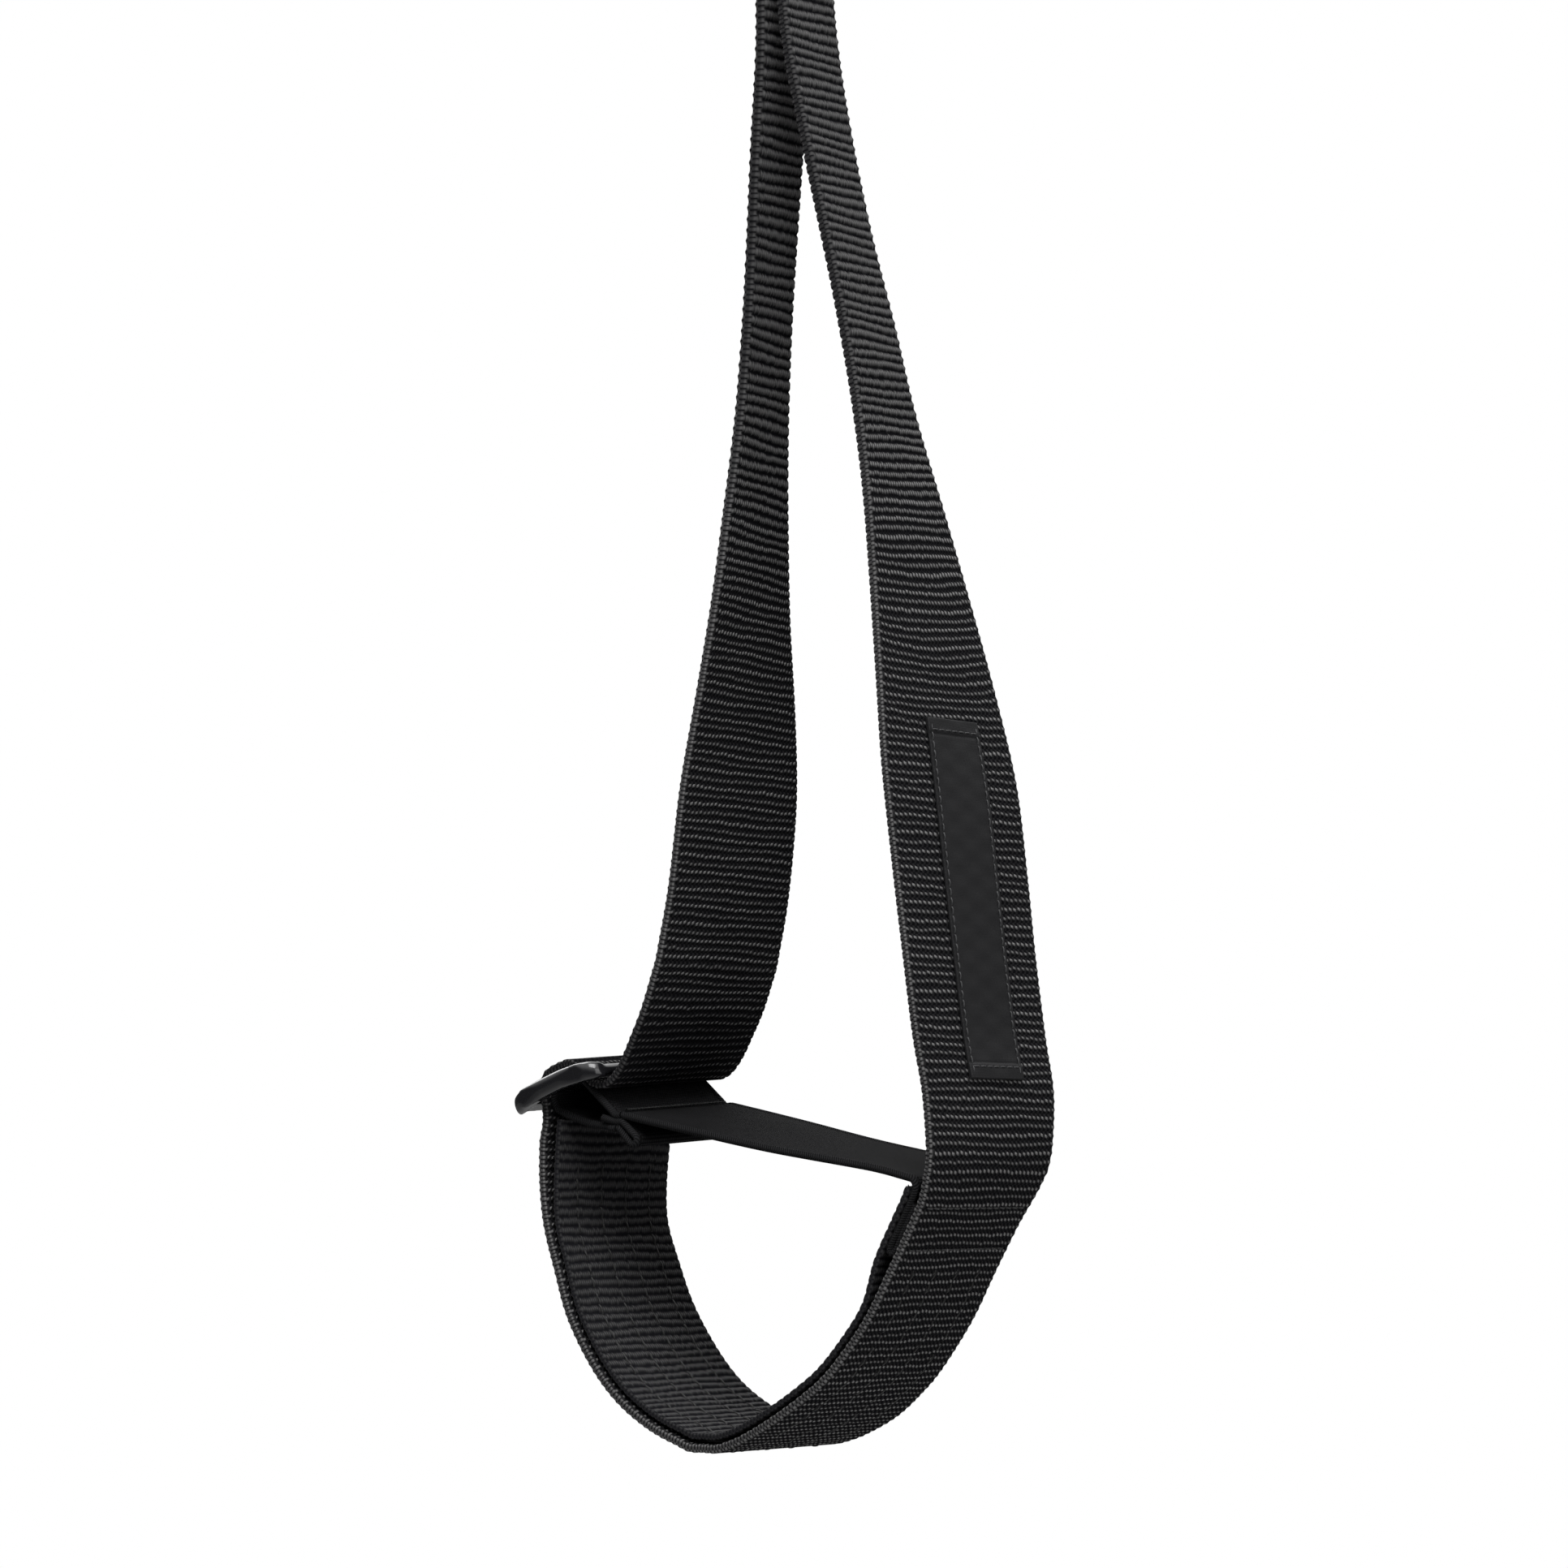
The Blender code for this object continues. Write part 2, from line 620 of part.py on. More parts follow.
def add_step(rest):
    """Outer webbing round the foot, lining, stiffener and the quilting through them."""
    joint = length_at_height(rest, STRAP_JOINT_HEIGHT)
    step = rest.between(0, joint)
    add_strip("step_webbing", "step_webbing", trim(step))
    add_strip("right_leg_webbing", "leg_webbing", trim(rest.between(joint, rest.lengths()[-1])))

    lined = rest.between(LINING_START, joint - LINING_TOP_DROP)
    lining = narrowed(lined, lining_distances(lined, 0, 0), LINING_WIDTH, LINING_THICKNESS)
    add_strip("step_lining", "step_lining", lining)

    stiff_end = joint - LINING_TOP_DROP - ELASTIC_END_LENGTH - STIFFENER_END_GAP
    stiff = rest.between(LINING_START + STIFFENER_END_GAP, stiff_end)
    middle = (FOOT_WEBBING_THICKNESS + STIFFENER_THICKNESS) / 2 + LAYER_GAP
    stiffener = narrowed(stiff, middle, STIFFENER_WIDTH, STIFFENER_THICKNESS)
    add_strip("step_stiffener", "step_stiffener", stiffener)

    quilted = rest.between(LINING_START + QUILT_END_MARGIN, stiff_end)
    seat = LINING_THICKNESS / 2 + LAYER_GAP + THREAD_THICKNESS / 2
    below_top = ELASTIC_END_LENGTH + STIFFENER_END_GAP
    inside = lining_distances(quilted, QUILT_END_MARGIN, below_top, seat)
    outside = -FOOT_WEBBING_THICKNESS / 2 - LAYER_GAP - THREAD_THICKNESS / 2
    for number in range(QUILT_ROWS):
        middle = 0.5 + (number / (QUILT_ROWS - 1) - 0.5) * QUILT_SPAN / FOOT_WEBBING_WIDTH
        half = THREAD_ROW_WIDTH / FOOT_WEBBING_WIDTH / 2
        for side, distance in (("inner", inside), ("outer", outside)):
            row = quilted.offset(distance, middle - half, middle + half)
            name = f"quilting_row_{side}_{number + 1}"
            add_strip(name, "quilting_thread", row.with_thickness(THREAD_THICKNESS))

    for number, share in enumerate(JOINT_ROW_SHARES, 1):
        start = joint - LINING_TOP_DROP - ELASTIC_END_LENGTH * share
        stretch = rest.between(start - BAR_TACK_WIDTH / 2, start + BAR_TACK_WIDTH / 2)
        low = (1 - JOINT_ROW_SPAN_SHARE) / 2
        below_top = ELASTIC_END_LENGTH * share - BAR_TACK_WIDTH / 2
        inside = lining_distances(stretch, LINING_END_RUN, below_top, seat)
        for side, distance in (("inner", inside), ("outer", outside)):
            row = stretch.offset(distance, low, 1 - low).with_thickness(THREAD_THICKNESS)
            add_strip(f"strap_joint_row_{side}_{number}", "joint_thread", row)
    return joint


def round_off(mesh_data, edges, radius, segments):
    bmesh.ops.bevel(mesh_data, geom=edges, offset=radius, segments=segments, affect="EDGES", profile=0.5)


def add_slider():
    """Arched three-bar slider: a flat grid without its slots, thickened, rounded and bent to its arch."""
    bars = bar_edges()
    inner = FOOT_WEBBING_WIDTH / 2 + SLIDER_SIDE_CLEARANCE
    outer = inner + SLIDER_RAIL_WIDTH
    along = [edge for bar in bars for edge in bar]
    even = FOOT_WEBBING_WIDTH / 2
    across = [-outer, -inner, -even, even, inner, outer]
    mesh_data = bmesh.new()
    counts = {"x_segments": len(along) - 1, "y_segments": len(across) - 1}
    grid = bmesh.ops.create_grid(mesh_data, size=1, **counts)
    columns = sorted({round(vert.co.x, 4) for vert in grid["verts"]})
    rows = sorted({round(vert.co.y, 4) for vert in grid["verts"]})
    for vert in grid["verts"]:
        vert.co = (along[columns.index(round(vert.co.x, 4))], across[rows.index(round(vert.co.y, 4))], 0)
    slots = []
    for face in mesh_data.faces:
        middle = face.calc_center_median()
        in_bar = any(start < middle.x < end for start, end in bars)
        if abs(middle.y) < inner and not in_bar:
            slots.append(face)
    bmesh.ops.delete(mesh_data, geom=slots, context="FACES")
    plate = bmesh.ops.extrude_face_region(mesh_data, geom=list(mesh_data.faces))
    lifted = [item for item in plate["geom"] if isinstance(item, bmesh.types.BMVert)]
    for vert in mesh_data.verts:
        vert.co.z = -SLIDER_BAR_THICKNESS / 2
    for vert in lifted:
        vert.co.z = SLIDER_BAR_THICKNESS / 2
    bmesh.ops.recalc_face_normals(mesh_data, faces=mesh_data.faces)

    def uprights(test):
        found = []
        for edge in mesh_data.edges:
            a, b = edge.verts
            upright = abs(a.co.z - b.co.z) > SLIDER_BAR_THICKNESS / 2
            if upright and test(a.co) and edge.calc_face_angle(0) > 1:
                found.append(edge)
        return found

    def at_corner(co):
        at_end = min(abs(co.x - along[0]), abs(co.x - along[-1])) < SLIDER_EDGE_ROUND
        return at_end and abs(co.y) > inner + SLIDER_RAIL_WIDTH / 2

    corners = uprights(at_corner)
    round_off(mesh_data, corners, SLIDER_CORNER_RADIUS, CORNER_SEGMENTS)
    rims = []
    for edge in mesh_data.edges:
        flat = abs(edge.verts[0].co.z - edge.verts[1].co.z) < SLIDER_BAR_THICKNESS / 2
        if flat and edge.calc_face_angle(0) > 1:
            rims.append(edge)
    round_off(mesh_data, rims, SLIDER_EDGE_ROUND, SLIDER_EDGE_SEGMENTS)
    crest = inner + SLIDER_RAIL_WIDTH / 2
    for vert in mesh_data.verts:
        rise = ease((abs(vert.co.y) - even) / (crest - even))
        vert.co.z *= 1 + rise * (SLIDER_RAIL_HEIGHT / SLIDER_BAR_THICKNESS - 1)
        vert.co.z += arch(vert.co.x)
    mesh = bpy.data.meshes.new("tri_glide_slider")
    mesh_data.to_mesh(mesh)
    mesh_data.free()
    mesh.shade_smooth()
    mesh.transform(SLIDER_TURN)
    mesh.transform(Matrix.Translation(SLIDER_CENTRE))
    return add_mesh("tri_glide_slider", "slider_metal", mesh, SLIDER_CENTRE)


def elastic_strip(points, width=None):
    """A strip of the elastic through points of the slider's side view."""
    width = width or ELASTIC_WIDTH
    middles = [Vector(point) for point in points]
    count = len(middles)
    return strip_along(middles, [slider_shift(width)] * count, [width] * count, [ELASTIC_THICKNESS] * count)


def tack_point(layer):
    """Middle of an elastic layer at the tack: 0 strap and upper branch, 1 tail, 2 lower branch."""
    drop = layer * (ELASTIC_THICKNESS + LAYER_GAP)
    return Vector((ELASTIC_TACK_OFFSET, 0, ELASTIC_TACK_HEIGHT - drop))


def add_elastic_bar_loop():
    """The elastic from the tack up round the centre bar and back under the slider to the tack."""
    bars = bar_edges()
    radius = hug(LAYER_GAP + ELASTIC_THICKNESS / 2)
    seam = Vector((TACK_HALF_LENGTH, 0, 0))
    turn = arc(bar_corner(bars[1][1], -1, 1), radius, 38, 90)
    turn += arc(bar_corner(bars[1][0], 1, 1), radius, 90, 185)
    turn = [from_slider(along, 0, up) for along, up in turn]
    end = tack_point(0) - Vector((LAYER_GAP / 2, 0, 0))
    upper = smooth([end, end - seam, turn[0]], FOLD_STEP * 3)[:-1]
    sag = [
        from_slider(along * SLIDER_CENTRE_BAR, 0, up * SLIDER_CENTRE_BAR) for along, up in BRANCH_SHARES
    ]
    lower = smooth([turn[-1], *sag, tack_point(2) - 2 * seam, tack_point(2) - seam], FOLD_STEP * 2)[1:]
    add_strip("elastic_bar_loop", "elastic", elastic_strip(upper + turn + lower), SLIDER_CENTRE)


def add_elastic_tail():
    """The elastic's end, folded back on itself below the tack, with its cut end in the loop."""
    seam = Vector((TACK_HALF_LENGTH, 0, 0))
    across = Vector((-TAIL_LEAN.z, 0, TAIL_LEAN.x))
    spread = (ELASTIC_THICKNESS + TAIL_LOOP_GAP) / 2
    root = tack_point(2) - seam
    tip = root + TAIL_LEAN * TAIL_FOLD_LENGTH
    fold = []
    for index in range(TURN_SEGMENTS + 1):
        angle = math.pi * index / TURN_SEGMENTS
        fold.append(tip + across * spread * (1 - math.cos(angle)) + TAIL_LEAN * spread * math.sin(angle))
    start = root + Vector((LAYER_GAP, 0, 0))
    back = [tack_point(1), tack_point(1) - seam]
    stub = back[-1] + Vector((-TAIL_STUB_LENGTH, 0, TAIL_STUB_RISE))
    tail = smooth([start, start + seam / 4, fold[0]], FOLD_STEP)[:-1] + fold
    tail += smooth([fold[-1], *back, stub], FOLD_STEP * 2)[1:]
    add_strip("elastic_tail_fold", "elastic", elastic_strip(tail), SLIDER_CENTRE)


def add_elastic_tack():
    face = ELASTIC_THICKNESS / 2 + LAYER_GAP + THREAD_THICKNESS / 2
    half = Vector((TACK_HALF_LENGTH, 0, 0))
    rows = (("upper", 0, 1, TACK_UPPER_BACK_SHARE), ("lower", 2, -1, TACK_LOWER_BACK_SHARE))
    for side, layer, sign, back in rows:
        centre = tack_point(layer) - half * back + Vector((0, 0, sign * face))
        ends = [centre - half * TACK_ROW_SHARE, centre + half * TACK_ROW_SHARE]
        row = elastic_strip(ends, ELASTIC_WIDTH * TACK_SPAN_SHARE).with_thickness(THREAD_THICKNESS)
        add_strip(f"elastic_tack_row_{side}", "elastic_thread", row, SLIDER_CENTRE)


def end_fold(inner, outer):
    """The half turn at the bottom of two layers, from the inner one's start to the outer one's."""
    edges = []
    for a, b in ((inner.near, outer.near), (inner.far, outer.far)):
        down = (a[0] - a[1]).normalized()
        half = (b[0] - a[0]) / 2
        turn = []
        for index in range(1, TURN_SEGMENTS):
            angle = math.pi * index / TURN_SEGMENTS
            turn.append(a[0] + half * (1 - math.cos(angle)) + down * half.length * math.sin(angle))
        edges.append(turn)
    return Strip(*edges, [ELASTIC_THICKNESS] * (TURN_SEGMENTS - 1))


def add_instep_elastic(rest, joint):
    """The strap over the instep, from the tack to its end sewn inside the step's right corner."""
    bottom = joint - LINING_TOP_DROP - ELASTIC_END_LENGTH
    turned = (ELASTIC_THICKNESS + LAYER_GAP) / 2
    buried = rest.between(bottom + turned, joint - ELASTIC_BEND_DROP)
    buried = narrowed(buried, elastic_layer_distance(1), ELASTIC_WIDTH, ELASTIC_THICKNESS)
    end = rest.between(bottom + turned, bottom + turned + ELASTIC_END_FOLD)
    end = narrowed(end, elastic_layer_distance(0), ELASTIC_WIDTH, ELASTIC_THICKNESS)
    fold = end_fold(buried, end)
    enter = (buried.near[-1] + buried.far[-1]) / 2
    up = (buried.near[-1] - buried.near[-2]).normalized()
    inward = buried.normals()[-1]
    bend = []
    for index in range(TURN_SEGMENTS, 0, -1):
        angle = ELASTIC_BEND_TURN * index / TURN_SEGMENTS
        bend.append(enter + (inward * (1 - math.cos(angle)) + up * math.sin(angle)) * ELASTIC_BEND_RADIUS)
    start = tack_point(0) + Vector((LAYER_GAP / 2, 0, 0))
    run = bend[0] - start
    guide = [start + Vector((run.x * along, 0, run.z * fall)) for along, fall in STRAP_SHARES]
    curve = smooth([start, *guide, bend[0]], STEP_STEP)[:-1] + bend
    end_shift = (buried.far[-1] - buried.near[-1]) - Vector((0, ELASTIC_WIDTH, 0))
    shifts = [slider_shift(ELASTIC_WIDTH).lerp(end_shift, ease(i / len(curve))) for i in range(len(curve))]
    count = len(curve)
    free = strip_along(curve, shifts, [ELASTIC_WIDTH] * count, [ELASTIC_THICKNESS] * count)
    near = free.near + buried.near[::-1] + fold.near + end.near
    far = free.far + buried.far[::-1] + fold.far + end.far
    whole = Strip(near, far, [ELASTIC_THICKNESS] * len(near))
    add_strip("instep_elastic", "elastic", whole)


def add_label(rest):
    """Sewn label on the outer face of the right leg, and the seam round its border."""
    low = length_at_height(rest, LABEL_TOP_HEIGHT) - LABEL_LENGTH
    inset = LABEL_SEAM_INSET
    middle = 0.5 + LABEL_OFFSET / FOOT_WEBBING_WIDTH
    half = LABEL_WIDTH / FOOT_WEBBING_WIDTH / 2
    distance = -FOOT_WEBBING_THICKNESS / 2 - LAYER_GAP - LABEL_THICKNESS / 2
    patch = rest.between(low, low + LABEL_LENGTH).offset(distance, middle - half, middle + half)
    add_strip("label_patch", "label", patch.with_thickness(LABEL_THICKNESS))

    above = distance - LABEL_THICKNESS / 2 - LAYER_GAP - THREAD_THICKNESS / 2
    reach = half - inset / FOOT_WEBBING_WIDTH
    seam = rest.between(low + inset, low + LABEL_LENGTH - inset).offset(above, middle - reach, middle + reach)
    add_strip("label_seam", "label_thread", seam.with_thickness(THREAD_THICKNESS), border=THREAD_ROW_WIDTH)


COLLECTION = "etrier"

# Colour, roughness and metallic value of each kind of piece
LOOKS = {
    "eye_webbing": ((0.018, 0.018, 0.020), 0.75, 0),
    "neck_webbing": ((0.018, 0.018, 0.020), 0.75, 0),
    "leg_webbing": ((0.018, 0.018, 0.020), 0.75, 0),
    "step_webbing": ((0.016, 0.016, 0.018), 0.78, 0),
    "step_lining": ((0.014, 0.014, 0.016), 0.80, 0),
    "step_stiffener": ((0.030, 0.030, 0.032), 0.45, 0),
    "bar_tack": ((0.024, 0.024, 0.026), 0.60, 0),
    "quilting_thread": ((0.022, 0.022, 0.024), 0.60, 0),
    "joint_thread": ((0.022, 0.022, 0.024), 0.60, 0),
    "slider_metal": ((0.030, 0.030, 0.032), 0.28, 0.6),
    "elastic": ((0.013, 0.013, 0.014), 0.85, 0),
    "elastic_thread": ((0.020, 0.020, 0.022), 0.65, 0),
    "label": ((0.010, 0.010, 0.012), 0.40, 0),
    "label_thread": ((0.020, 0.020, 0.022), 0.60, 0),
}


def main():
    clear_scene()
    make_collection(COLLECTION)
    for kind, look in LOOKS.items():
        make_material(kind, *look)
    left_leg, wrap, rest = main_webbing()
    add_eye()
    add_stack()
    add_strip("left_leg_webbing", "leg_webbing", trim(left_leg))
    add_strip("slider_wrap_webbing", "leg_webbing", trim(wrap), SLIDER_CENTRE)
    joint = add_step(rest)
    add_slider()
    add_elastic_bar_loop()
    add_elastic_tail()
    add_elastic_tack()
    add_instep_elastic(rest, joint)
    add_label(rest)


main()
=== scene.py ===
"""Looks of a foot-loop etrier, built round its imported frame.

Every strap is read from its solid: the four long edges give its near and far edge, its lie and its thickness.
It is then made again as a fine woven tube with ribs and selvedges. Metres, in the frame of the solids.
"""

import math

import bmesh
import bpy
import numpy as np
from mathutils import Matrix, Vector


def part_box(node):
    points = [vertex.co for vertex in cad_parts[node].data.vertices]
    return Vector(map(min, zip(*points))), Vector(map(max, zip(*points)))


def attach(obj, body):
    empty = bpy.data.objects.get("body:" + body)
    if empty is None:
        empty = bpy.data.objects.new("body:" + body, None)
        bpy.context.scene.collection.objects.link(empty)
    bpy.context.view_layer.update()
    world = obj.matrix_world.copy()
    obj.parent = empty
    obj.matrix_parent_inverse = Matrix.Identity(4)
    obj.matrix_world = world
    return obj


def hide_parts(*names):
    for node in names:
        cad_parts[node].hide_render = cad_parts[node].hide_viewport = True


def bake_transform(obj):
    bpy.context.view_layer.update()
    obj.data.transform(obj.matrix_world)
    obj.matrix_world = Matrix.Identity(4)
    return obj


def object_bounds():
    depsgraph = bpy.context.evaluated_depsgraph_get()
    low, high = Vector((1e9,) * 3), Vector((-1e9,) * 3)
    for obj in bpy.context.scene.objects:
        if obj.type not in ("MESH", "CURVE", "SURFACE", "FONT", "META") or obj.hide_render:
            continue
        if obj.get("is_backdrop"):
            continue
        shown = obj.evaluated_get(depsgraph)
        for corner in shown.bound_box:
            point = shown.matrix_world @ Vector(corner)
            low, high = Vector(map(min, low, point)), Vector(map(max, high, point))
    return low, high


bl_info = {
    "name": "Foot-loop etrier",
    "version": (1, 0, 0),
    "blender": (4, 5, 0),
    "location": "View3D > Sidebar > Etrier",
    "description": "Woven straps, stitching, slider and stage for a webbing foot loop",
    "category": "Object",
}

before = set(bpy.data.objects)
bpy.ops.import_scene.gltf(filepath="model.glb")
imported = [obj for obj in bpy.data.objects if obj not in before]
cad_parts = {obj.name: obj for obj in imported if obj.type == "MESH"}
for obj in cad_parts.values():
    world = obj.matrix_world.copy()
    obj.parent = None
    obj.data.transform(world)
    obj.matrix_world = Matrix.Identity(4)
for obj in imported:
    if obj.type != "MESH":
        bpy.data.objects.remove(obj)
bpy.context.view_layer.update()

MM = 0.001
LOOP = "loop"
EYE = "eye"
CARRIAGE = "carriage"
SLIDER = "slider"


class EtrierWebbing(bpy.types.PropertyGroup):
    """Weave of the main webbing, from its narrow ribbed top to its wide open foot."""

    narrow_rib: bpy.props.FloatProperty(
        name="Narrow rib", description="Spacing of the ribs at the top", default=2.45 * MM, unit="LENGTH"
    )
    wide_rib: bpy.props.FloatProperty(
        name="Wide rib", description="Spacing of the ribs at the foot", default=1.80 * MM, unit="LENGTH"
    )
    narrow_relief: bpy.props.FloatProperty(
        name="Narrow relief", description="Height of a rib at the top", default=0.42 * MM, unit="LENGTH"
    )
    wide_relief: bpy.props.FloatProperty(
        name="Wide relief", description="Height of a rib at the foot", default=0.24 * MM, unit="LENGTH"
    )
    fold: bpy.props.FloatProperty(
        name="Fold", description="Length that eases the bend at the slider", default=2.6 * MM, unit="LENGTH"
    )
    sag: bpy.props.FloatProperty(
        name="Sag", description="How far the bend at the slider hangs down", default=1.1 * MM, unit="LENGTH"
    )
    warp_pairs: bpy.props.IntProperty(
        name="Warp pairs", description="Pairs of warp threads across the webbing", default=28
    )
    # Crown is a painted highlight, the sheen of the raised threads, far lighter than the black nylon; groove
    # is painted shade between the ribs
    crown: bpy.props.FloatVectorProperty(
        name="Crown", description="Colour of raised threads", default=(0.200, 0.197, 0.197), subtype="COLOR"
    )
    groove: bpy.props.FloatVectorProperty(
        name="Groove", description="Colour between the ribs", default=(0.006, 0.006, 0.007), subtype="COLOR"
    )


class EtrierStep(bpy.types.PropertyGroup):
    """Lining of the step and the quilting through it."""

    rib: bpy.props.FloatProperty(
        name="Lining rib", description="Spacing of the lining's ribs", default=2.0 * MM, unit="LENGTH"
    )
    relief: bpy.props.FloatProperty(
        name="Lining relief", description="Height of the lining's ribs", default=0.24 * MM, unit="LENGTH"
    )
    lining_reach: bpy.props.FloatProperty(
        name="Reach", description="How far the lining runs on to the slider", default=6.5 * MM, unit="LENGTH"
    )
    dimple: bpy.props.FloatProperty(
        name="Dimple", description="Depth of the lining's dip at a row", default=0.17 * MM, unit="LENGTH"
    )
    stitch: bpy.props.FloatProperty(
        name="Stitch", description="Length of one stitch and its gap", default=3.1 * MM, unit="LENGTH"
    )
    thread: bpy.props.FloatProperty(
        name="Thread", description="Diameter of the sewing thread", default=0.42 * MM, unit="LENGTH"
    )


class EtrierElastic(bpy.types.PropertyGroup):
    """Instep elastic with its rolled edges."""

    roll: bpy.props.FloatProperty(
        name="Rolled edge", description="Diameter of the rolled edge", default=1.55 * MM, unit="LENGTH"
    )
    rib: bpy.props.FloatProperty(
        name="Cross rib", description="Spacing of the fine cross ribs", default=0.56 * MM, unit="LENGTH"
    )
    colour: bpy.props.FloatVectorProperty(
        name="Elastic", description="Colour of the elastic", default=(0.019, 0.019, 0.020), subtype="COLOR"
    )


class EtrierSlider(bpy.types.PropertyGroup):
    """Coated metal slider."""

    grain: bpy.props.FloatProperty(
        name="Grain", description="Size of the grid that rounds the casting", default=0.28 * MM, unit="LENGTH"
    )
    colour: bpy.props.FloatVectorProperty(
        name="Coating", description="Colour of the coating", default=(0.006, 0.006, 0.007), subtype="COLOR"
    )


class EtrierLabel(bpy.types.PropertyGroup):
    """Bare woven label."""

    hem: bpy.props.FloatProperty(
        name="Turned end", description="Length of the end folded under", default=3.0 * MM, unit="LENGTH"
    )
    margin: bpy.props.FloatProperty(
        name="Margin", description="Cloth beyond the label's near seam", default=1.3 * MM, unit="LENGTH"
    )
    colour: bpy.props.FloatVectorProperty(
        name="Label", description="Colour of the weave", default=(0.016, 0.016, 0.017), subtype="COLOR"
    )


class EtrierStage(bpy.types.PropertyGroup):
    """Camera, lamps and floor."""

    lens: bpy.props.FloatProperty(
        name="Lens", description="Focal length on a 36 mm wide picture", default=93.17, unit="CAMERA"
    )
    key: bpy.props.FloatProperty(
        name="Key lamp", description="Power of the large lamp overhead", default=14.0, unit="POWER"
    )
    fill: bpy.props.FloatProperty(
        name="Fill lamp", description="Power of the lamp beside the camera", default=2.8, unit="POWER"
    )
    back: bpy.props.FloatProperty(
        name="Back lamp", description="Power of the lamp that rims the slider", default=6.0, unit="POWER"
    )
    ambient: bpy.props.FloatProperty(
        name="Ambient", description="Strength of the world's light on matt surfaces", default=0.20
    )


# How a strap's solid is read
WELD = 1e-6
SHARP_EDGE = math.radians(55)
FINE_STEP = 0.05 * MM

# How finely straps are woven, and the shape of a rib and of an edge
RIB_SAMPLES = 8
RIB_MARGIN = 0.02
RIB_SQUARENESS = 2.6
RIB_CENTRE = 0.55
FACE_COLUMNS = 34
EDGE_COLUMNS = 7
EDGE_FIRST_ANGLE = math.radians(7)
EDGE_SQUARENESS = 0.55
BEAD = 0.24
SMALL_BEAD = 0.22

# How fast the selvedge's weave takes over round the edge, and how far the underside's weave is moved on
SELVEDGE_GAIN = 1.6
UNDERSIDE_SHIFT = 5


def unit(vectors):
    return vectors / np.linalg.norm(vectors, axis=-1, keepdims=True)


def running(points):
    """Length along a path at each of its points."""
    return np.concatenate([[0.0], np.cumsum(np.linalg.norm(np.diff(points, axis=0), axis=1))])


def sampled(at, places, points):
    """Points known at rising places, read at other places."""
    return np.stack([np.interp(at, places, points[:, axis]) for axis in range(3)], axis=1)


def smooth_step(value):
    value = np.clip(value, 0, 1)
    return value * value * (3 - 2 * value)


def bell(distance, reach, power=2):
    return np.exp(-((distance / reach) ** power))


def facing(normals, toward):
    """The normals, turned to the side that the given vectors point to."""
    return normals if (normals * toward).sum() > 0 else -normals


class Strap:
    """Stations along a strap: near edge, far edge and thickness."""

    def __init__(self, near, far, thickness):
        self.near = np.asarray(near, float)
        self.far = np.asarray(far, float)
        self.thickness = np.asarray(thickness, float)

    @property
    def middle(self):
        return (self.near + self.far) / 2

    @property
    def lengths(self):
        return running(self.middle)

    @property
    def width(self):
        return np.linalg.norm(self.far - self.near, axis=1)

    @property
    def normals(self):
        along = np.gradient(self.middle, self.lengths, axis=0)
        return unit(np.cross(along, self.far - self.near))

    @property
    def normal(self):
        return unit(self.normals.mean(axis=0))

    def across(self, share):
        """Points at a share of the width from the near edge."""
        return self.near + (self.far - self.near) * share

    def raised(self, across, up, normals):
        """A grid of points, a row for each station, from metres across and metres up from the middle."""
        share = (across / self.width[:, None])[:, :, None]
        flat = self.near[:, None] + (self.far - self.near)[:, None] * share
        return flat + normals[:, None] * up[:, :, None]

    def joined(self, other):
        rows = zip((self.near, self.far, self.thickness), (other.near, other.far, other.thickness))
        return Strap(*[np.concatenate(pair) for pair in rows])

    def extended(self, reach):
        """The strap with its start moved out, straight on."""
        back = unit(self.middle[0] - self.middle[1]) * reach
        return Strap(self.near[:1] + back, self.far[:1] + back, self.thickness[:1]).joined(self)

    def at(self, lengths):
        """The same strap with stations at other running lengths, on a cubic through its own."""
        own = self.lengths
        index = np.clip(np.searchsorted(own, lengths, side="right") - 1, 0, len(own) - 2)
        step = (own[index + 1] - own[index])[:, None]
        t = np.clip((lengths - own[index])[:, None] / step, 0, 1)

        def curve(values):
            slopes = np.gradient(values, own, axis=0)
            start = values[index] * (1 + 2 * t) * (1 - t) ** 2 + values[index + 1] * t**2 * (3 - 2 * t)
            turn = slopes[index] * t * (1 - t) ** 2 - slopes[index + 1] * t**2 * (1 - t)
            return start + turn * step

        return Strap(curve(self.near), curve(self.far), curve(self.thickness[:, None])[:, 0])


def sharp_paths(node):
    """The twelve long and short edges of a strap's solid, each as points between two numbered corners."""
    solid = bmesh.new()
    solid.from_mesh(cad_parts[node].data)
    bmesh.ops.remove_doubles(solid, verts=solid.verts, dist=WELD)
    solid.verts.index_update()
    links = {}
    for edge in solid.edges:
        if edge.calc_face_angle(0) > SHARP_EDGE:
            a, b = (vert.index for vert in edge.verts)
            links.setdefault(a, []).append(b)
            links.setdefault(b, []).append(a)
    solid.verts.ensure_lookup_table()
    places = {index: np.array(solid.verts[index].co) for index in links}
    solid.free()
    corners = [index for index, others in links.items() if len(others) == 3]
    if len(corners) != 8:
        raise RuntimeError(f"{node} has {len(corners)} corners, and a strap has 8")
    paths = []
    for corner in corners:
        for following in links[corner]:
            path = [corner, following]
            while path[-1] not in corners:
                path.append(next(index for index in links[path[-1]] if index != path[-2]))
            if path[0] < path[-1]:
                paths.append((path[0], path[-1], np.array([places[index] for index in path])))
    return paths


def turned(rail):
    return rail[1], rail[0], rail[2][::-1]


